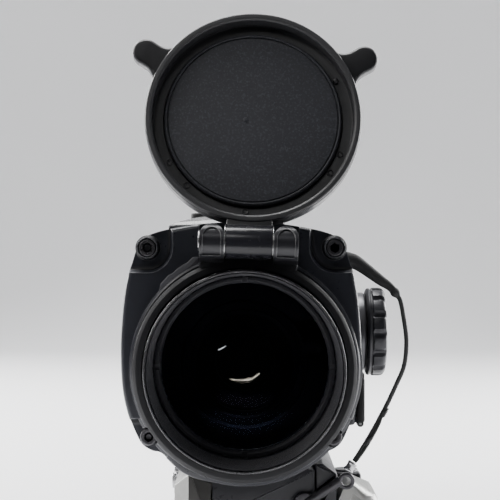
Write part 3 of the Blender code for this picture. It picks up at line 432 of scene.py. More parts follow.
def dial(radius, n, h, axis, at, shape=None, turn=0.0):
    """Ring of a screw head or nut; shape(angle, radius) gives the radius."""
    points = []
    for k in range(n if radius else 1):
        t = 2 * math.pi * k / n
        r = shape(t, radius) if shape else radius
        spot = (r * math.sin(t + turn), r * math.cos(t + turn))
        points.append(place_on(spot, h, axis) + Vector(at))
    return points


def hexagon(angle, radius):
    """Shape for `dial`; the radius reaches to the flats."""
    return radius / math.cos(angle % (math.pi / 3) - math.pi / 6)


# ------------------------------------------------------------------ solids
def skin(rings, wrap=False):
    """Closed surface through rings of points; wrap joins the last ring to the first."""
    bm = bmesh.new()
    rows = [[bm.verts.new(p) for p in ring] for ring in rings]
    pairs = list(zip(rows, rows[1:]))
    if wrap:
        pairs.append((rows[-1], rows[0]))
    for a, b in pairs:
        for k in range(max(len(a), len(b))):
            quad = [a[k % len(a)], a[(k + 1) % len(a)], b[(k + 1) % len(b)], b[k % len(b)]]
            face = [v for i, v in enumerate(quad) if v not in quad[:i]]
            if len(face) > 2:
                bm.faces.new(face)
    if not wrap:
        for row in (rows[0], rows[-1]):
            if len(row) > 2:
                bm.faces.new(row)
    bmesh.ops.recalc_face_normals(bm, faces=bm.faces)
    return bm


def lathe(profile, n, axis="Y", at=(0, 0, 0), wrap=True):
    """Profile of (radius, height) turned about an axis."""
    return skin([circle(p[0], n, p[1], axis, at) for p in profile], wrap)


def rod(radius, h0, h1, n=48, axis="Y", at=(0, 0, 0), edge=0.0):
    profile = [(radius, h0), (radius, h1)]
    if edge:
        profile = soften([(0, h0)] + profile + [(0, h1)], edge, 3, False)
    return lathe(profile, n, axis, at, False)


def rbox(low, high, radius=0.5, seg=3):
    """Box between two corners, with rounded edges."""
    bm = bmesh.new()
    bmesh.ops.create_cube(bm, size=1.0)
    low, high = Vector(low), Vector(high)
    for v in bm.verts:
        v.co = Vector(((low + high) / 2)[i] + v.co[i] * (high - low)[i] for i in range(3))
    radius = min(radius, min(high - low) * 0.45)
    if radius > 0:
        bmesh.ops.bevel(bm, geom=list(bm.edges), offset=radius, segments=seg, profile=0.5,
                        affect="EDGES", clamp_overlap=True)
    bmesh.ops.recalc_face_normals(bm, faces=bm.faces)
    return bm


def prism(outline, h0, h1, axis="Y", edge=0.0, seg=3, edge2=None):
    """Outline pushed along the axis with rounded end edges."""
    edge2 = edge if edge2 is None else edge2
    sections = [(out, h0 + along) for out, along in quarter(edge, seg)]
    sections += [(out, h1 - along) for out, along in reversed(quarter(edge2, seg))]
    return skin([[place_on(p, h, axis) for p in (offset(outline, out) if out else outline)]
                 for out, h in sections])


def sweep(path, radius, n=16, ridge=None):
    """Tube along a path; radius may be a function of the 0..1 position."""
    points = [Vector(p) for p in path]
    end = len(points) - 1
    tangents = [(points[min(i + 1, end)] - points[max(i - 1, 0)]).normalized()
                for i in range(end + 1)]
    across = tangents[0].orthogonal().normalized()
    rings = []
    for i, (point, tangent) in enumerate(zip(points, tangents)):
        across = (across - tangent * across.dot(tangent)).normalized()
        other = tangent.cross(across)
        s = i / end
        base = radius(s) if callable(radius) else radius
        ring = []
        for k in range(n):
            a = 2 * math.pi * k / n
            r = base + (ridge(a, s) if ridge else 0.0)
            ring.append(point + (across * math.cos(a) + other * math.sin(a)) * r)
        rings.append(ring)
    return skin(rings)


def socket_head(hexes, rounds, n, axis, at, turn=0.0):
    """Screw from stations (radius, height): the hex socket, then round (with a shape, if any)."""
    rings = [dial(r, n, h, axis, at, hexagon, turn) for r, h in hexes]
    rings += [dial(r, n, h, axis, at, *shape) for r, h, *shape in rounds]
    return skin(rings)


def temporary_mesh(bm):
    mesh = bpy.data.meshes.new("t")
    bm.to_mesh(mesh)
    bm.free()
    return mesh


def joined(*bodies):
    """Several closed bodies in one mesh."""
    out = bmesh.new()
    for body in bodies:
        mesh = temporary_mesh(body)
        out.from_mesh(mesh)
        bpy.data.meshes.remove(mesh)
    return out


def temporary_object(bm):
    obj = bpy.data.objects.new("t", temporary_mesh(bm))
    bpy.context.scene.collection.objects.link(obj)
    return obj


def carve(bm, steps, solver="EXACT"):
    """Booleans (operation, shape) applied one after another."""
    base = temporary_object(bm)
    for number, (operation, shape) in enumerate(steps):
        tool = temporary_object(shape)
        # a solver can fail and lose most of the mesh; the next one is then tried
        for attempt in (solver, "MANIFOLD", "EXACT"):
            modifier = base.modifiers.new("b", "BOOLEAN")
            modifier.operation = operation
            modifier.solver = attempt
            modifier.object = tool
            bpy.context.view_layer.update()
            graph = bpy.context.evaluated_depsgraph_get()
            mesh = bpy.data.meshes.new_from_object(base.evaluated_get(graph))
            base.modifiers.clear()
            count = len(mesh.polygons)
            if count > 0.3 * len(base.data.polygons) or (operation == KEEP and count > 6):
                break
        else:
            raise ValueError("cut %d left nothing behind" % number)
        base.data = mesh
        bpy.data.objects.remove(tool, do_unlink=True)
    out = bmesh.new()
    out.from_mesh(base.data)
    bpy.data.objects.remove(base, do_unlink=True)
    bmesh.ops.remove_doubles(out, verts=out.verts, dist=0.0005)
    bmesh.ops.dissolve_degenerate(out, dist=0.0005, edges=out.edges)
    return out


def piece(name, bm, body, mat, nodes=(), move=None, smooth=32):
    for matrix in (move, TO_FRAME):
        if matrix is not None:
            bmesh.ops.transform(bm, matrix=matrix, verts=bm.verts)
    mesh = bpy.data.meshes.new(name)
    bm.to_mesh(mesh)
    bm.free()
    for poly in mesh.polygons:      # also makes the material_index attribute
        poly.material_index = 0
    mesh.materials.append(MATERIALS[mat])
    mesh.shade_smooth()
    mesh.set_sharp_from_angle(angle=math.radians(smooth))
    obj = bpy.data.objects.new(name, mesh)
    bpy.context.scene.collection.objects.link(obj)
    if nodes:
        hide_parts(*nodes)
    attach(obj, body)
    return obj


def repaint(obj, slots, *mats):
    """Add materials and give each face its slot number."""
    for mat in mats:
        obj.data.materials.append(MATERIALS[mat])
    for poly, slot in zip(obj.data.polygons, slots):
        poly.material_index = slot


# ------------------------------------------------------------------ front bezel
BOSS = [(36.6, 0.7), (35.75, 0.02, 0.3), (35.45, -1.15, 0.15), (34.95, -1.6, 0.15),
        (29.0, -1.6), (29.0, 9.0), (36.6, 9.0)]
SCREW_COLLAR = [(2.9, 0.1, 0.1), (3.3, 0.1, 0.15), (3.3, 2.6, 0.0), (3.9, 3.2, 0.0),
                (3.9, 4.0, 0.0), (2.9, 4.0, 0.0)]


def pocket(side, x0, z0, radius, up):
    """Cutter for a corner recess, round towards the lens and open outwards."""
    def ring(grow, y):
        r = radius + grow
        turns = [math.radians(90.0 * k / 24) for k in range(25)]
        points = [(x0 - r * math.cos(a), z0 - up * r * math.sin(a)) for a in turns]
        points += [(x0 + 14, z0 - up * r), (x0 + 14, z0 + up * 14), (x0 - r, z0 + up * 14)]
        return [Vector((BODY_X + side * x, y, z)) for x, z in points]
    # extra radius, y
    sections = [(1.3, -4.0), (0.75, -0.3), (0.45, 0.35), (0.25, 1.0), (0.1, 2.0),
                (-0.1, 2.8), (-0.5, 3.3), (-1.1, 3.5)]
    return skin([ring(grow, y) for grow, y in sections])


def gets_painted_shade(poly):
    """True on the boss face and on the pocket floors clear of the screw collars, which get
    painted shade.
    """
    c = poly.center * 1000
    y, z = c.y - FACE_Y, c.z - LENS_Z
    if poly.normal.y < -0.9 and -1.8 < y < -1.3 and 31.2 < math.hypot(c.x, z) < 34.9:
        return True
    return 2.6 < y < 3.8 and abs(c.x) > 20 and any(
        math.hypot(c.x - sx, z - sz) > 3.45 for sx, sz in SCREWS if sx * c.x > 0 and sz * z > 0)


sections = [(along, out) for out, along in quarter(1.5, 6)]
sections += [(9.4, 0.0), (9.8, -0.15), (10.0, -0.5)]
steps = [(CUT, pocket(side, TOP_SCREW[0], 37.6, 7.3, 1)) for side in (-1, 1)]
steps += [(CUT, pocket(side, *LOW_SCREW, 5.2, -1)) for side in (-1, 1)]
steps += [(ADD, lathe(soften(BOSS, 0, 4), 144)),
          (CUT, rbox((-14.2, -3.0, 36.6), (16.9, 2.2, 50.0), 0.8, 3)),
          (CUT, rod(31.0, -4.3, 12.6, 144))]
for x, z in SCREWS:
    at = (x, 0, z)
    if z > 0:
        steps += [(CUT, rod(SCREW_HOLE_R, -4.6, 12.2, 24, at=at)),
                  (ADD, lathe(soften(SCREW_COLLAR, 0, 3), 48, at=at))]
    else:
        hole = [(3.15, -3.7), (3.15, 3.3), (SCREW_HOLE_R, 3.3), (SCREW_HOLE_R, 12.2)]
        steps.append((CUT, lathe(hole, 32, "Y", at, False)))
plate = piece("bezel_plate", carve(skin(body_rings(sections)), steps), "camera", "paint",
              ["front_bezel"])
# the boss face and the pocket floors get the near-black paint as painted shade
repaint(plate, [int(gets_painted_shade(poly)) for poly in plate.data.polygons], "pocket")

# stepped web left of the hinge, dying into the round boss; its paler colour is a painted
# highlight
WEB = [(-14.25, 34.6, 0.2), (-16.0, 34.6, 0.5), (-17.9, 32.8, 0.4), (-19.1, 32.2, 0.4),
       (-21.0, 30.9, 0.3), (-22.4, 29.5, 0.4), (-23.6, 29.0, 0.3), (-26.0, 26.4, 0.6),
       (-26.6, 24.0, 0.4), (-27.3, 23.2, 0.3), (-27.7, 20.2, 0.2), (-24.0, 22.0, 0),
       (-14.25, 29.6, 0)]
piece("bezel_web", prism(soften(WEB, 0.2, 3), -0.55, 0.3, "Y", 0.22, 3), "camera", "web")

# ------------------------------------------------------------------ corner screws
SCREW_POINTS = 48


def knurled(angle, radius):
    return radius - 0.07 * (round(angle / (2 * math.pi) * SCREW_POINTS) % 2)


def cap_screw(name, node, at, face, length, facing, turn):
    """Socket cap screw; its head starts at y = face and runs along `facing`."""
    hexes = [(0, 0.85), (1.15, 0.75), (1.25, 0.12), (1.375, 0.0)]
    rounds = [(1.95, 0.0), (2.05, -0.02), (2.3, 0.0), (2.5, 0.08), (2.64, 0.22), (2.7, 0.4),
              (2.75, 0.5, knurled), (2.75, 2.7, knurled), (2.6, 2.95), (2.5, 3.0), (1.5, 3.0),
              (1.5, 3.0 + length - 0.4), (1.1, 3.0 + length), (0, 3.0 + length)]
    hexes, rounds = ([(r, face + facing * h, *shape) for r, h, *shape in stations]
                     for stations in (hexes, rounds))
    piece(name, socket_head(hexes, rounds, SCREW_POINTS, "Y", at, turn), "camera", "screw",
          [node])


for k, (x, z) in enumerate(SCREWS, 1):
    cap_screw("cap_screw_front_%d" % k, "front_screw_%d" % k, (x, 0, z),
              face=0.2, length=13.0, facing=1, turn=0.4 + 1.3 * k)
    cap_screw("cap_screw_rear_%d" % k, "rear_screw_%d" % k, (x, 0, z),
              face=101.9, length=10.0, facing=-1, turn=0.9 * k)

# ------------------------------------------------------------------ objective
# radius, y, corner radius
HOOD = [(30.1, -14.5, 0.12), (30.4, -14.5, 0.12), (30.7, -14.15, 0.15), (30.7, -1.0),
        (30.7, 10.3), (31.4, 10.3, 0.15), (31.4, 13.0, 0.15), (30.7, 13.0), (30.7, 18.0, 0.2),
        (26.4, 18.0, 0.2), (26.4, 14.0), (29.1, 14.0), (29.1, 5.0), (29.95, -13.2, 0.1),
        (29.95, -14.1, 0.15)]
piece("objective_hood", lathe(soften(HOOD, 0.12, 3), 180), "camera", "anodise",
      ["objective_barrel"])

# ribbed sleeve inside the hood
profile = [(29.2, 4.9), (29.98, -13.1), (29.7, -13.35), (29.5, -13.3)]
y = -12.9
while y < 3.6:
    r = 29.45 - 0.75 * (y + 13.0) / 17.0
    profile += [(r, y), (r + 0.02, y + 0.28), (r + 0.16, y + 0.36), (r + 0.14, y + 0.62)]
    y += 0.66
profile += [(28.6, 4.4), (28.75, 4.9)]
piece("hood_baffle", lathe(profile, 180), "camera", "baffle")

LENS_R = 28.5
front = [(LENS_R * k / 24, 7.2 + 2.6 * (k / 24) ** 2) for k in range(25)]
back = [(LENS_R * k / 16, 11.2 + 2.0 * (k / 16) ** 2) for k in range(16, -1, -1)]
piece("objective_glass", lathe(front + [(LENS_R, 10.2), (LENS_R, 12.8)] + back, 96, wrap=False),
      "camera", "lens", ["objective_lens"], smooth=50)

# retaining ring with four spanner slots: slot centre x, z and half sizes x, z
SLOTS = [(0, 27.6, 0.9, 3.4), (0, -27.6, 0.9, 3.4), (27.6, 0, 3.4, 0.9), (-27.6, 0, 3.4, 0.9)]
RETAINER = [(28.4, 6.3, 0.15), (28.4, 9.2), (26.6, 8.9), (26.4, 7.3, 0.2), (27.2, 6.2, 0.25)]
steps = [(CUT, rbox((x - wide, 4.0, z - tall), (x + wide, 7.0, z + tall), 0.2, 2))
         for x, z, wide, tall in SLOTS]
piece("spanner_ring", carve(lathe(soften(RETAINER, 0.1, 3), 144), steps), "camera", "baffle",
      ["lens_retaining_ring"])

# painted reflections behind the objective: a polished crescent and a polished bar stand in for a
# crescent and a glint reflected in the lens
CRESCENT_OUTLINE = [(-5.37, -5.60), (-3.3, -6.75), (-0.9, -7.22), (1.6, -6.95), (3.6, -5.85), (4.9, -4.2),
        (4.7, -3.5), (3.9, -3.65), (2.3, -4.95), (0.0, -5.35), (-2.3, -5.5), (-4.6, -5.25)]
GLINT_OUTLINE = [(-1.6, -0.45), (1.6, -0.45), (1.6, 0.45), (-1.6, 0.45)]
LEAN = Matrix.Rotation(math.radians(9), 4, "X")
tilt = Matrix.Translation((0, 34.6, -5.5)) @ LEAN @ Matrix.Translation((0, -34.6, 5.5))
piece("lens_crescent_reflection", prism(CRESCENT_OUTLINE, 34.35, 34.85, "Y", 0.12, 3), "cell", "clip", (), tilt)
tilt = Matrix.Translation((-7.3, 34.6, 4.15)) @ Matrix.Rotation(math.radians(-30), 4, "Y") @ LEAN
piece("lens_glint_reflection", prism(soften(GLINT_OUTLINE, 0.42, 4), -0.3, 0.3, "Y", 0.12, 3), "cell", "tip",
      (), tilt)

# ------------------------------------------------------------------ housing
SKIN = -0.8                         # the housing and rear cover sit this far inside the bezel
sections = [(11.3 + along, SKIN + out) for out, along in quarter(0.7, 4)]
sections += [(94.3, SKIN), (94.75, -0.95), (95.0, -1.4), (95.0, -3.8), (11.3, -3.8)]
steps = [(ADD, rod(3.0, 11.4, 94.9, 32, at=(x, 0, z))) for x, z in SCREWS]
steps += [(ADD, rbox((-24.4, 13.0, 38.5), (13.0, 59.0, 44.8), 0.8, 3)),
          (ADD, rod(12.8, 31.5, 35.9, 72, "X", KNOB, 0.5)),
          (ADD, rbox((31.5, 24.7, -20.6), (36.2, 52.5, -4.4), 1.5, 4)),
          (CUT, rod(8.3, 28.0, 40.0, 48, "X", KNOB)),
          (CUT, rbox((25.0, 26.7, -18.4), (42.0, 50.5, -6.4), 1.0, 3)),
          (CUT, rbox((-19.0, 24.0, 30.0), (8.0, 48.0, 50.0), 1.0, 3))]
for x, z in SCREWS:
    for y in (10.3, 83.0):
        steps.append((CUT, rod(SCREW_HOLE_R, y, y + 13.0, 16, at=(x, 0, z))))
for z in (-4.0, 8.0):               # side grooves
    steps.append((CUT, rbox((-42.0, 22.0, z), (-37.0, 84.0, z + 3.0), 1.2, 4)))
    steps.append((CUT, rbox((34.7, 60.0, z + 2), (40.0, 84.0, z + 5.0), 1.2, 4)))
piece("housing_shell", carve(skin(body_rings(sections), True), steps), "camera", "paint",
      ["main_housing"])

# ------------------------------------------------------------------ rear cover
REAR_SECTIONS = [(96.3, -1.4), (96.5, -0.95), (96.9, SKIN), (99.9, SKIN), (100.4, -0.86),
                 (100.9, -1.06), (101.35, -1.4), (101.7, -1.85), (101.92, -2.4), (102.0, -3.0)]
DISH_Z = 8.0
steps = [(CUT, rod(22.0, 100.8, 104.0, 96, at=(BODY_X, 0, DISH_Z), edge=0.4))]
for k in range(7):                  # slots across a 20 mm radius
    z = 20.0 - 4.0 * k
    half = math.sqrt(20.0 ** 2 - (z - DISH_Z) ** 2)
    steps.append((CUT, rbox((BODY_X - half, 98.6, z - 0.9), (BODY_X + half, 103.0, z + 0.9),
                            0.7, 3)))
for x, z in SCREWS:
    hole = [(SCREW_HOLE_R, 94.3), (SCREW_HOLE_R, 98.6), (3.1, 98.6), (3.1, 103.0)]
    steps.append((CUT, lathe(hole, 32, "Y", (x, 0, z), False)))
piece("rear_plate", carve(skin(body_rings(REAR_SECTIONS)), steps), "camera", "paint",
      ["rear_cover"])

# ------------------------------------------------------------------ knob and its neck
NECK = [(1.95, 29.5), (7.9, 29.5), (7.9, 36.2), (12.8, 36.2, 0.25), (12.8, 38.5, 0.5),
        (12.3, 38.95, 0.2), (1.95, 38.95)]
piece("knob_neck", lathe(soften(NECK, 0.05, 3), 96, "X", KNOB), "camera", "neck",
      ["focus_bushing"])

FLUTES = 14
# radius, x before the cap is seated, flute depth
CAP = [(2.2, 40.5, 0), (12.6, 40.5, 0), (13.5, 40.6, 0), (14.0, 40.85, 0), (14.25, 41.25, 0),
       (14.25, 41.6, 0), (14.1, 41.85, 0), (13.7, 41.95, 0), (13.7, 42.2, 0), (13.9, 42.3, 0),
       (14.15, 42.4, 0.3), (14.35, 42.6, 0.7), (14.4, 42.9, 0.9), (14.4, 44.6, 0.95),
       (14.3, 45.4, 0.9), (14.05, 45.95, 0.75), (13.65, 46.4, 0.45), (13.1, 46.7, 0.15),
       (12.5, 46.8, 0), (11.9, 46.75, 0), (11.6, 46.55, 0), (11.4, 46.25, 0), (11.0, 46.2, 0),
       (4.6, 46.2, 0), (4.3, 46.3, 0), (4.1, 46.6, 0), (3.5, 46.6, 0), (3.2, 46.3, 0),
       (3.2, 44.7, 0), (2.2, 44.7, 0)]
CAP_SEATING = 1.2


def flute(deep):
    def depth(angle):
        u = (angle * FLUTES / (2 * math.pi)) % 1.0
        u = min(u, 1 - u)
        return -deep * max(0.0, 1 - (u / 0.19) ** 2) ** 0.7 if u < 0.19 else 0.0
    return depth


rings = [circle(r, 240, x - CAP_SEATING, "X", KNOB, flute(deep) if deep else None)
         for r, x, deep in CAP]
piece("knob_cap", skin(rings, True), "knob", "knob_metal", ["focus_knob"])
hexes = [(0, 44.3), (1.15, 44.2), (1.25, 45.3)]
rounds = [(1.5, 45.4), (2.4, 45.4), (2.7, 45.25), (2.85, 44.9), (2.85, 43.7), (0, 43.7)]
piece("knob_screw_cap", socket_head(hexes, rounds, 36, "X", KNOB), "knob", "screw",
      ["knob_screw"])
# ten small pips round the knob face
PIPS, PIP_CIRCLE = 10, 8.4
pips = []
for k in range(PIPS):
    a = 2 * math.pi * k / PIPS
    at = (0, KNOB_Y + PIP_CIRCLE * math.cos(a), KNOB_Z + PIP_CIRCLE * math.sin(a))
    pips.append(rod(0.35, 44.8, 45.22, 16, "X", at, 0.15))
piece("knob_pips", joined(*pips), "knob", "pale")

# ------------------------------------------------------------------ port flap
FLAP_PIN = (37.7, 0, -20.0)
flap = carve(rbox((36.6, 25.1, -20.0), (39.2, 52.1, -4.8), 1.15, 4),
             [(ADD, rod(1.15, 25.9, 51.3, 32, at=FLAP_PIN)),
              (ADD, rbox((34.8, 27.1, -18.0), (36.9, 50.1, -7.0), 0.5, 3)),
              (CUT, rbox((33.0, 28.4, -17.0), (35.6, 48.8, -8.0), 0.3, 2)),
              (ADD, rbox((38.0, 35.5, -6.4), (39.8, 41.7, -4.2), 0.5, 3)),
              (CUT, rbox((38.75, 28.0, -16.6), (42.0, 49.2, -8.4), 0.9, 3)),
              (CUT, rod(0.7, 20, 60, 16, at=FLAP_PIN))])
piece("flap_moulding", flap, "flap", "rubber", ["port_flap"])

# ------------------------------------------------------------------ control panel and keys
outline = soften([(-24.2, 13.2), (12.8, 13.2), (12.8, 58.8), (-24.2, 58.8)], 2.2, 8)
steps = [(CUT, rod(r, z0, z1, 48, "Z", (x, KEY_Y, 0)))
         for r, z0, z1 in ((4.0, 43.0, 47.0), (4.6, 47.25, 50.0), (3.95, 46.5, 49.0))
         for x in KEY_XS]
steps.append((CUT, rbox((-10.6, 22.0, 47.45), (-0.4, 25.0, 50.0), 0.6, 3)))
steps += [(CUT, rbox((-20.0, y, 47.4), (8.6, y + 1.0, 50.0), 0.3, 2)) for y in (45.0, 49.0, 53.0)]
front_slope = [(12.6, 45.19), (17.0, 48.95), (17.0, 51.0), (12.0, 51.0), (12.0, 44.67)]
steps.append((CUT, prism(front_slope, -30.0, 20.0, "X")))
panel = carve(prism(outline, 45.1, 47.8, "Z", 0.15, 2, 1.1), steps)
for v in panel.verts:               # the left end droops with the body
    droop = max(0.0, (-13.0 - v.co.x) / 11.2) ** 2
    v.co.z -= droop * (3.3 if v.co.z > 46.0 else 1.6)
piece("top_panel", panel, "camera", "panel", ["control_panel"])

KEY = [(0, 43.0), (1.3, 43.0), (1.3, 43.7), (4.4, 43.7), (4.4, 44.7), (3.6, 44.7),
       (3.6, 48.9, 0.6), (2.6, 49.05, 0.4), (0, 48.8)]
KEY_RING = [(1.5, 48.85), (1.5, 49.2), (1.05, 49.2), (1.05, 48.85)]
for x, tag in zip(KEY_XS, "abc"):   # marked minus, ring and plus
    at = (x, KEY_Y, 0)
    piece("key_cap_" + tag, lathe(soften(KEY, 0.15, 4, False), 64, "Z", at, False),
          "key_" + tag, "rubber", ["button_" + tag])
    if tag == "b":
        mark = lathe(soften(KEY_RING, 0.1, 2), 48, "Z", at)
    else:
        mark = rbox((x - 1.5, 35.75, 48.8), (x + 1.5, 36.25, 49.2), 0.12, 2)
    if tag == "c":
        mark = joined(mark, rbox((x - 0.25, 34.5, 48.8), (x + 0.25, 37.5, 49.18), 0.12, 2))
    piece("key_mark_" + tag, mark, "key_" + tag, "pale")

# ------------------------------------------------------------------ cover ring and hinge
PIN_HOLE_R = 1.55
BAND = [(31.0, -8.6, 0.1), (31.35, -9.0, 0.15), (33.2, -9.0, 0.2), (34.3, -7.9, 0.3),
        (34.3, -4.4, 0.1), (33.9, -4.2, 0.1), (33.9, -3.7, 0.1), (34.3, -3.5, 0.1),
        (34.3, -1.9, 0.2), (31.0, -1.9)]
SEAT = [(-9.0, 31.0), (-1.9, 31.0), (-1.9, 35.2, 1.0), (-4.5, 37.2, 1.5), (-9.0, 37.6, 0.5)]
LUG_WEB = [(-15.0, 35.6), (-12.6, 33.95), (-8.6, 32.4), (-6.6, 36.9), (-6.4, 41.4),
           (-12.0, 43.6)]
LUG_X = 11.2
HALF_TURN = range(0, 181, 6)


def lug(side):
    """Hinge lug with an arched top as seen from the front."""
    x = side * LUG_X
    arch = arc(x, HINGE.z + 1.6, 3.7, HALF_TURN) + [(x - 3.7, 31.2), (x + 3.7, 31.2)]
    web = prism(soften(LUG_WEB, 0.5, 3), *sorted((side * 7.2, side * 15.4)), "X")
    barrel = rod(5.5, *sorted((side * 7.0, side * 15.5)), 96, "X", HINGE)
    return carve(carve(barrel, [(ADD, web)]), [(KEEP, prism(arch, -17.5, -2.6))])


def lug_recess(side):
    """Cutter that sinks the lug's front face to a smaller barrel."""
    x = side * LUG_X
    inset = arc(x, HINGE.z + 1.35, 2.75, HALF_TURN)
    inset += [(x - 2.75, HINGE.z - 4.4), (x + 2.75, HINGE.z - 4.4)]
    return carve(prism(inset, -19.0, -12.0), [(CUT, rod(5.12, -20.0, 20.0, 96, "X", HINGE))])


steps = [(ADD, prism(soften(SEAT, 0.1, 5), -15.0, 15.0, "X", 0.6, 4))]
for side in (-1, 1):
    steps += [(ADD, lug(side)), (CUT, lug_recess(side))]
steps += [(CUT, rod(5.6, -7.4, 7.4, 72, "X", HINGE)),
          (CUT, rbox((-7.4, -22.0, 37.0), (7.4, -4.4, 50.0), 0.0)),
          (CUT, rod(31.4, -30.0, -0.6, 144)), (CUT, rod(33.75, -30.0, -9.05, 144)),
          (CUT, rod(PIN_HOLE_R, -20, 20, 24, "X", HINGE)),
          (CUT, rod(1.35, -40, -25, 24, "Z", (0, -5.5, 0)))]
steps += [(CUT, rod(2.5, *sorted((side * 14.3, side * 18)), 40, "X", HINGE)) for side in (-1, 1)]
band = carve(lathe(soften(BAND, 0.1, 3), 180), steps)
centres = [face.calc_center_median() for face in band.faces]
# faces within 34.5 mm of the lens axis get the near-black paint as painted shade
ring_painted_shade = [int(math.hypot(c.x, c.z) < 34.5) for c in centres]
band = piece("hinge_ring", band, "camera", "anodise_plain", ["cover_ring"],
             CLOCKED)
repaint(band, ring_painted_shade, "pocket")

# radius, x, corner radius
PIN = [(0, -15.5), (1.9, -15.45, 0.2), (3.1, -15.3, 0.15), (3.1, -14.96, 0.1), (1.45, -14.95),
       (1.25, -14.2), (1.25, 14.2), (1.45, 14.35), (2.2, 14.4, 0.2), (1.6, 14.85, 0.3),
       (0, 14.95)]
pin = lathe(soften(PIN, 0.1, 3, False), 40, "X", HINGE, False)
shims = []
for x in (-7.28, 7.28):
    profile = [(1.6, x - 0.11), (5.15, x - 0.11), (5.15, x + 0.11), (1.6, x + 0.11)]
    shims.append(lathe(soften(profile, 0.06, 2), 64, "X", HINGE))
piece("hinge_pin_steel", joined(pin, *shims), "camera", "steel", ["hinge_pin"], CLOCKED)

hexes = [(0, -32.7), (0.55, -32.8), (0.625, -33.85)]
rounds = [(0.8, -33.9), (1.0, -33.85), (1.15, -33.7), (1.15, -31.3), (0, -31.3)]
piece("ring_set_screw", socket_head(hexes, rounds, 24, "Z", (0, -5.5, 0)), "camera", "screw",
      ["cover_ring_screw"], CLOCKED)

COIL_R = 2.75
coil = [(-6.9 + 5.0 * k / 140.0, HINGE.y + COIL_R * math.cos(2 * math.pi * k / 40),
         HINGE.z + COIL_R * math.sin(2 * math.pi * k / 40)) for k in range(141)]
piece("hinge_coil", sweep(coil, 0.42, 12), "camera", "steel", ["hinge_spring"], CLOCKED)

# ------------------------------------------------------------------ flip-up cover
# radius, y, corner radius
CUP = [(0, -18.5), (20.0, -18.5, 0.2), (20.4, -18.2, 0.2), (29.0, -18.2, 0.2),
       (29.4, -18.5, 0.2), (31.5, -18.5, 1.2), (33.45, -16.9, 1.4), (33.45, -11.3, 0.2),
       (33.2, -11.0, 0.2), (33.2, -9.9, 0.3), (32.9, -9.5, 0.2), (31.7, -9.5, 0.25),
       (31.1, -10.0, 0.3), (31.05, -14.9, 0.5), (27.8, -14.9, 0.12), (27.8, -16.7), (0, -16.7)]
# one flank of an ear: distance from the lens axis, distance to the side
FLANK = [(31.2, -8.0, 0), (32.6, -6.7, 0), (34.3, -5.1, 0), (36.2, -4.25, 0), (38.2, -4.1, 0)]
ARM = [(-15.3, 32.2), (-9.9, 32.2), (-9.9, 37.8), (-13.5, 42.6, 1.0), (-16.0, 39.5, 1.2),
       (-16.0, 35.0, 1.2)]
ear = [(q.x, q.y) for q in spline(FLANK, 5)[:-1]]
ear += arc(39.7, 0, 4.2, range(-98, 99, 7)) + [(u, -v) for u, v in ear[::-1]]
steps = []
for side in (-1, 1):
    t = math.radians(-90 + side * 59)
    turned = [(u * math.cos(t) - v * math.sin(t), u * math.sin(t) + v * math.cos(t))
              for u, v in ear]
    steps.append((ADD, prism(turned, -16.7, -11.8, "Y", 1.1, 4)))
steps += [(ADD, rod(5.05, -7.15, 7.15, 72, "X", HINGE, 0.4)),
          (ADD, prism(soften(ARM, 0.3, 5), -6.9, 6.9, "X", 0.5, 3)),
          (CUT, rod(PIN_HOLE_R, -12, 12, 24, "X", HINGE)),
          (CUT, rod(3.7, -9.0, -1.4, 40, "X", HINGE))]
shell = carve(lathe(soften(CUP, 0.2, 4, False), 180, wrap=False), steps, "MANIFOLD")


def cover_slot(face):
    """1 on the hinge barrel, 2 on the inner faces of the ears, which get painted shade, else 0.
    """
    c = face.calc_center_median()
    if abs(c.x) < 7.3 and math.hypot(c.y - HINGE.y, c.z - HINGE.z) < 5.2:
        return 1
    return 2 if math.hypot(c.x, c.z) > 34.8 and c.z < 0 and face.normal.y > 0.9 else 0


slots = [cover_slot(face) for face in shell.faces]
shell = piece("cover_shell", shell, "cover", "plastic", ["lens_cover"], OPENED)
# the flat faces of the ears get the near-black paint as painted shade
repaint(shell, slots, "barrel", "pocket")

LINER = [(0, -16.4), (27.5, -16.4, 0.2), (27.5, -13.3, 0.3), (27.0, -12.75, 0.3),
         (26.65, -12.75, 0.15), (26.5, -13.45, 0.1), (26.25, -13.45, 0.1), (26.1, -13.05, 0.1),
         (0, -13.05)]
piece("cover_disc", lathe(soften(LINER, 0.1, 3, False), 180, wrap=False), "cover", "liner",
      ["cover_liner"], OPENED)

# moulding marks: a gate pip near the middle of the disc, ejector rings and a pin on the floor
GATE = [(0, -13.3), (0.75, -13.2, 0.1), (0.7, -12.8, 0.15), (0, -12.75)]
EJECTOR = [(0.4, -15.0), (1.1, -15.0), (1.1, -14.6, 0.1), (0.8, -14.6, 0.1), (0.7, -14.8),
           (0.4, -14.8)]
EJECTOR_PIN = [(0, -15.0), (0.95, -15.0), (0.85, -13.9, 0.4), (0, -13.6)]
gate = joined(lathe(soften(GATE, 0.05, 2, False), 40, "Y", (-2.3, 0, 0.3), False))
piece("cover_gate_mark", gate, "cover", "liner", (), OPENED)


def on_floor(radius, degrees):
    a = math.radians(degrees)
    return (radius * math.sin(a), 0, -radius * math.cos(a))


marks = [lathe(soften(EJECTOR, 0.05, 2), 28, "Y", on_floor(28.95, degrees))
         for degrees in (183, 110, 123, 241, 223)]
marks.append(lathe(soften(EJECTOR_PIN, 0.2, 3, False), 28, "Y", on_floor(28.8, 61.7), False))
piece("cover_ejector_marks", joined(*marks), "cover", "plastic", (), OPENED)

# ------------------------------------------------------------------ rail clamp
BOLT_HOLE_R = 3.2
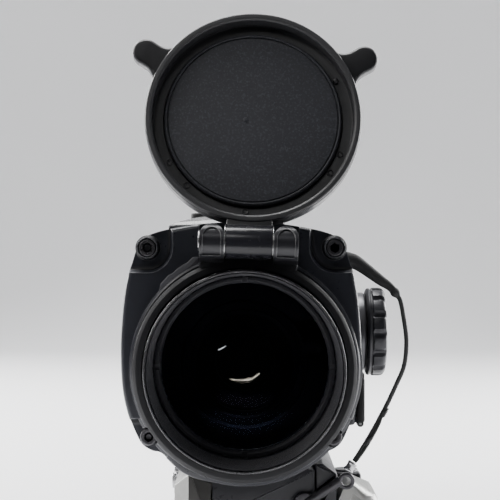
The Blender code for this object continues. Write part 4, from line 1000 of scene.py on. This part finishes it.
# the pedestal's top follows the body's underside: x, z, corner radius
under = sorted([p for p in body_outline(-0.45) if p[1] < -29.0 and -10.4 < p[0] < 16.0])
base = [(-10.5, -50.0, 0.1), (-10.5, under[0][1] - 0.1, 0.0)] + [(x, z, 0) for x, z in under]
base += [(18.2, -33.0, 0.3), (22.4, -34.2, 0.4), (22.4, -49.6, 0.2), (8.4, -50.0, 0.1)]
pedestal = carve(prism(soften(base, 0.3, 3), 18.0, 78.0, "Y", 0.4, 3),
                 [(CUT, rod(BOLT_HOLE_R, -30.0, 30.0, 40, "X", BOLT))])
piece("clamp_pedestal", pedestal, "camera", "anodise_plain", ["mount_base"])

FIXED_JAW = [(-23.0, -39.9, 0.25), (-17.4, -34.9, 0.25), (-10.6, -38.4, 0.25),
             (-10.6, -52.5, 0.0), (-10.9, -52.8, 0.1), (-10.9, -54.6, 0.1), (-8.9, -56.6, 0.2),
             (-8.9, -59.0, 0.4), (-20.0, -59.0, 0.5), (-23.0, -56.5, 0.5)]
# the front left corner is cut back: x, y
JAW_CORNER = [(-30.0, 10.0), (-18.2, 10.0), (-18.2, 18.0), (-23.0, 24.5), (-30.0, 24.5)]
jaw = carve(prism(soften(FIXED_JAW, 0.3, 3), 18.0, 78.0, "Y", 0.35, 3),
            [(CUT, prism(JAW_CORNER, -70.0, -30.0, "Z")),
             (CUT, rod(BOLT_HOLE_R, -30.0, 0.0, 40, "X", BOLT)),
             (CUT, rod(6.2, -30.0, -20.6, 48, "X", BOLT)),
             (CUT, rbox((-26.0, 24.0, -55.0), (-22.3, 50.0, -46.0), 1.2, 4))])
jaw = piece("clamp_fixed_jaw", jaw, "camera", "olive", ["fixed_jaw"])
# lit and shaded copies: faces turned to the left get the light aluminium as a painted highlight
# of the jaw's lit side
repaint(jaw, [int(poly.normal.x < -0.45) for poly in jaw.data.polygons], "alu")

MOVING_JAW = [(22.8, -32.4, 0.2), (25.3, -32.4, 0.4), (29.8, -35.6, 0.5), (29.8, -56.5, 0.5),
              (27.0, -59.0, 0.5), (8.9, -59.0, 0.4), (8.9, -56.6, 0.2), (10.9, -54.6, 0.2),
              (10.9, -52.8, 0.2), (8.7, -50.5, 0.2), (22.8, -50.2, 0.2)]
jaw = carve(prism(soften(MOVING_JAW, 0.3, 3), 20.0, 76.0, "Y", 0.5, 3),
            [(CUT, rod(BOLT_HOLE_R, 15.0, 35.0, 40, "X", BOLT)),
             (CUT, rbox((29.2, 24.0, -57.5), (33.0, 50.0, -54.0), 0.8, 3))])
# the aluminium jaw gets the dark anodise as painted shade, so only its pale edges stand out
piece("clamp_jaw", jaw, "jaw", "anodise_plain", ["moving_jaw"])

# radius, x, shape
NUT = [(3.35, -24.8, None), (3.35, -21.0, None), (5.0, -21.0, hexagon), (5.0, -24.1, hexagon),
       (4.95, -24.8, None)]
nut = skin([dial(r, 72, x, "X", BOLT, shape) for r, x, shape in NUT], True)
piece("clamp_nut_steel", nut, "camera", "steel", ["clamp_nut"])

bolt = carve(rod(2.7, -25.6, 33.0, 40, "X", BOLT, 0.5),
             [(CUT, rbox((29.9, 50, -42.5), (42.0, 70, -38.0), 0)),
              (CUT, rbox((29.9, 50, -50.0), (42.0, 70, -45.5), 0)),
              (ADD, rod(2.9, -45.5, -42.5, 48, "Z", LEVER, 0.2)),
              (ADD, rbox((29.0, 59.8, -45.45), (36.0, 64.2, -42.55), 0.1, 1)),
              (CUT, rod(1.7, -50, -38, 24, "Z", LEVER))])
piece("clamp_bolt_steel", bolt, "camera", "steel", ["clamp_bolt"])

LEVER_X = 30.3                      # inner side of the arm
ARM_SECTION = [(LEVER_X, -43.4, 0.8), (33.6, -36.6, 0.8), (35.6, -36.6, 0.8),
               (42.6, -42.4, 0.8), (43.4, -44.4, 0.8), (43.4, -51.6, 0.9), (41.0, -53.4, 0.9),
               (LEVER_X, -53.4, 0.7)]
# y, width as a share of the full section
ARM_STATIONS = [(19.0, 0.66), (19.2, 0.70), (19.7, 0.76), (20.6, 0.84), (22.0, 0.92),
                (24.0, 0.98), (27.0, 1.0), (53.6, 1.0)]
ARM_NOTCH = [(33.6, -44.6), (35.0, -41.6), (38.6, -44.6), (38.6, -49.0), (33.6, -49.0)]
section = soften(ARM_SECTION, 0.5, 4)
rings = []
for y, width in ARM_STATIONS:
    top = 0.86 - 0.42 * (y - 19.0) / 40.5 - 0.25 * (1 - width)
    low = 0.25 + 0.75 * width
    rings.append([Vector((LEVER_X + (x - LEVER_X) * width, y,
                          -44 + (z + 44) * (top if z > -44 else low))) for x, z in section])
steps = [(CUT, rod(0.8, -60.0, -30.0, 16, "Z", (44.0, 30.0 + 2.6 * k, 0))) for k in range(8)]
steps.append((CUT, prism(soften(ARM_NOTCH, 0.7, 3), 15.0, 24.0)))
piece("clamp_lever_arm", carve(skin(rings), steps), "lever", "alu",
      ["clamp_lever"])
hub = carve(rod(4.5, -53.0, -39.6, 64, "Z", (34.8, 60.2, 0), 0.6),
            [(ADD, rbox((31.2, 53.0, -52.8), (40.0, 59.5, -40.2), 1.0, 3)),
             (CUT, rbox((24.0, 55.6, -45.9), (48.0, 76.0, -42.1), 0)),
             (CUT, rod(1.75, -60, -30, 24, "Z", LEVER))])
piece("clamp_lever_hub", hub, "lever", "anodise_plain", ["clamp_lever"])
PIVOT = [(0, -53.6), (1.4, -53.6, 0.25), (1.4, -39.1, 0.25), (0, -39.1)]
piece("lever_pivot", lathe(soften(PIVOT, 0.2, 3, False), 32, "Z", LEVER, False), "camera",
      "steel", ["lever_pin"])

# ------------------------------------------------------------------ tether
# x, z of the paths, at TETHER_Y
BOOT_PATH = [(31.9, 33.2), (33.4, 33.3), (35.2, 32.9), (38.1, 31.0), (43.0, 27.3),
             (46.4, 24.9), (49.0, 21.9)]
CORD_PATH = [(48.6, 22.4), (49.0, 21.8), (49.7, 20.4), (50.5, 16.5), (51.6, 8.0), (50.9, 0.0),
             (48.3, -6.4), (44.6, -14.2), (40.0, -22.6), (36.4, -28.4), (34.9, -30.8)]
# x, distance in front of the cord, z
TAIL_PATH = [(44.2, 0.75, -15.6), (42.4, 1.1, -19.6), (39.2, 1.1, -25.4), (36.3, 0.9, -29.6),
             (35.2, 0.7, -31.0)]


def boot_radius(s):
    """Thick root that tapers, with a flange at the wall and a moulded ring at the end."""
    r = 3.4 + (1.15 - 3.4) * min(1.0, s / 0.88) ** 0.74
    r += 0.12 * max(0.0, math.sin(math.pi * (s - 0.25) / 0.75))
    r += 0.45 * math.exp(-(s / 0.045) ** 2)
    r += 0.34 * math.exp(-((s - 0.93) / 0.035) ** 2)
    return r - 0.35 * max(0.0, (s - 0.97) / 0.03)


path = spline([(x, TETHER_Y, z) for x, z in BOOT_PATH], 16)
piece("tether_boot_rubber", sweep(path, boot_radius, 36), "camera", "rubber",
      ["tether_boot"])

path = spline([(x, TETHER_Y, z) for x, z in CORD_PATH], 24)
cord = sweep(path, 0.74, 18, lambda a, s: 0.06 * math.cos(3 * a + 520 * s))
path = spline([(x, TETHER_Y - ahead, z) for x, ahead, z in TAIL_PATH], 20)
tail = sweep(path, lambda s: 0.42 * min(1.0, 0.35 + 4 * s), 14,
             lambda a, s: 0.05 * math.cos(3 * a + 260 * s))
whippings = []                      # thread wound round the cord and its tail
for x, z in ((44.6, -14.6), (39.9, -23.0)):
    angles = [k * math.pi / 8 for k in range(64)]
    turns = [(x + 1.2 * math.cos(a) - 0.045 * a, TETHER_Y - 0.5 + 1.5 * math.sin(a),
              z - 0.085 * a + 0.55 * math.cos(a)) for a in angles]
    whippings.append(sweep(turns, 0.26, 8))
piece("tether_line", joined(cord, tail, *whippings), "camera", "cord",
      ["tether_cord"])

FERRULE = [(0.6, -1.3), (1.5, -1.3, 0.3), (1.65, -0.9, 0.2), (1.45, -0.5, 0.2),
           (1.45, 0.9, 0.2), (1.65, 1.3, 0.2), (1.5, 1.9, 0.3), (0.6, 1.9)]
piece("tether_ferrule", lathe(soften(FERRULE, 0.1, 3), 40, "Z"), "camera", "steel",
      ["tether_crimp"],
      Matrix.Translation((33.6, TETHER_Y, -32.7)) @ Matrix.Rotation(math.radians(34), 4, "Y"))
EYE = [(2.7, -1.0), (2.7, 1.0), (1.4, 1.0), (1.4, -1.0)]
STALK = [(19.2, 15.6, -44.6), (24.9, 15.3, -40.8), (30.6, TETHER_Y, -37.0)]
anchor = carve(rod(3.6, 15.2, 17.7, 56, at=(19.2, 0, -44.6), edge=0.5),
               [(ADD, sweep(STALK, 1.5, 24)),
                (ADD, lathe(soften(EYE, 0.6, 4), 48, "Y", (32.4, TETHER_Y, -37.1)))])
piece("tether_anchor_eye", anchor, "camera", "screw", ["tether_anchor"])

# ------------------------------------------------------------------ pieces kept from the CAD
KEPT = {
    "rubber": ["front_gasket", "rear_gasket"],
    # parts inside the barrel, the steel shaft too, get near-black: partly their own matte black,
    # partly painted shade
    "inner": ["focus_guide", "focus_cell", "focus_lens_ring", "focus_shaft", "sensor_carrier"],
    "lens2": ["focus_lens"],
    "lens3": ["rear_lens"],
    "steel": ["sensor_standoff_1", "sensor_standoff_2", "usb_connector", "flap_pin"],
    "pcb": ["sensor_board", "main_board", "port_board", "switch_board"],
    "chip": ["sensor_chip"],
    "window": ["sensor_window"],
    "amber": ["flex_cable"],
    "grey": ["guide_connector"],
}
for mat, names in KEPT.items():
    for name in names:
        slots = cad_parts[name].data.materials
        slots.clear()
        slots.append(MATERIALS[mat])

# ------------------------------------------------------------------ stage (metres from here)
FLOOR_Z = -0.0093
CURVE_Y, CURVE_R = 0.9, 0.5         # where the floor starts to curve up, and how tightly


def stage_paper():
    n = Nodes("stage_paper")
    mottle = n.noise(n.coords(), scale=4.0, detail=3.0, rough=0.5)
    n.shade({"Base Color": n.mix(mottle, (0.74, 0.74, 0.75), (0.78, 0.78, 0.785)),
             "Roughness": 0.85, "Emission Color": (0.95, 0.96, 1.0),
             "Emission Strength": 0.30})
    return n.mat


def cyclorama():
    """Pale floor that curves up into a backdrop."""
    bm = bmesh.new()
    profile = [(-0.19, FLOOR_Z), (CURVE_Y, FLOOR_Z)]
    for k in range(1, 25):
        a = math.pi / 2 * k / 24
        profile.append((CURVE_Y + CURVE_R * math.sin(a), FLOOR_Z + CURVE_R * (1 - math.cos(a))))
    profile.append((CURVE_Y + CURVE_R, 2.4))
    rows = [[bm.verts.new((x, y, z)) for x in (-2.2, 2.2)] for y, z in profile]
    for a, b in zip(rows, rows[1:]):
        bm.faces.new((a[0], a[1], b[1], b[0]))
    mesh = bpy.data.meshes.new("stage_sweep")
    bm.to_mesh(mesh)
    bm.free()
    mesh.shade_smooth()
    mesh.materials.append(stage_paper())
    obj = bpy.data.objects.new("stage_sweep", mesh)
    bpy.context.scene.collection.objects.link(obj)


cyclorama()

# ------------------------------------------------------------------ lights
WHITE = (1, 1, 1)
# name, place, target, size, watts, colour
LIGHTS = [
    ("key_left", (-0.85, -0.42, 0.75), (0, -0.02, 0.08), (0.35, 0.6), 6.5, (1.0, 0.98, 0.95)),
    ("fill_right", (0.95, -0.45, 0.45), (0, -0.02, 0.07), (0.5, 0.8), 1.2, (0.94, 0.97, 1.0)),
    ("rim_left", (-0.55, 0.5, 0.45), (0, 0.0, 0.09), (0.25, 0.7), 15.0, WHITE),
    ("rim_right", (0.6, 0.42, 0.3), (0, 0.0, 0.07), (0.25, 0.6), 13.0, WHITE),
    ("front_soft", (-0.25, -1.1, 0.95), (0, 0.0, 0.09), (0.4, 0.25), 2.0, WHITE),
    ("top", (-0.1, 0.12, 0.9), (0, 0.0, 0.08), (0.6, 0.36), 14.0, WHITE),
]
for name, at, target, size, watts, colour in LIGHTS:
    data = bpy.data.lights.new(name, "AREA")
    data.shape = "RECTANGLE"
    data.size, data.size_y = size
    data.energy = watts
    data.color = colour
    obj = bpy.data.objects.new(name, data)
    obj.location = at
    obj.rotation_euler = (Vector(target) - Vector(at)).to_track_quat("-Z", "Y").to_euler()
    bpy.context.scene.collection.objects.link(obj)

# The world is dim as a light, but as pale as the floor where the camera sees it.
WORLD_LIGHT, WORLD_SEEN = 0.05, 0.75
world = bpy.data.worlds.new("studio")
world.use_nodes = True
tree = world.node_tree
backing = tree.nodes["Background"]
backing.inputs["Color"].default_value = (0.80, 0.82, 0.84, 1)
ray = tree.nodes.new("ShaderNodeLightPath")
power = tree.nodes.new("ShaderNodeMapRange")
power.inputs["To Min"].default_value = WORLD_LIGHT
power.inputs["To Max"].default_value = WORLD_SEEN
tree.links.new(ray.outputs["Is Camera Ray"], power.inputs["Value"])
tree.links.new(power.outputs["Result"], backing.inputs["Strength"])
bpy.context.scene.world = world

# ------------------------------------------------------------------ camera
lens = bpy.data.cameras.new("photo_view")
lens.sensor_width = 36.0            # mm, as is the focal length
lens.lens = 108.0
lens.clip_start = 0.01
camera = bpy.data.objects.new("photo_view", lens)
camera.location = (0.00162, -0.5125, 0.08675)
camera.rotation_euler = (math.radians(90), 0, 0)    # level, looking along +y
bpy.context.scene.collection.objects.link(camera)
bpy.context.scene.camera = camera
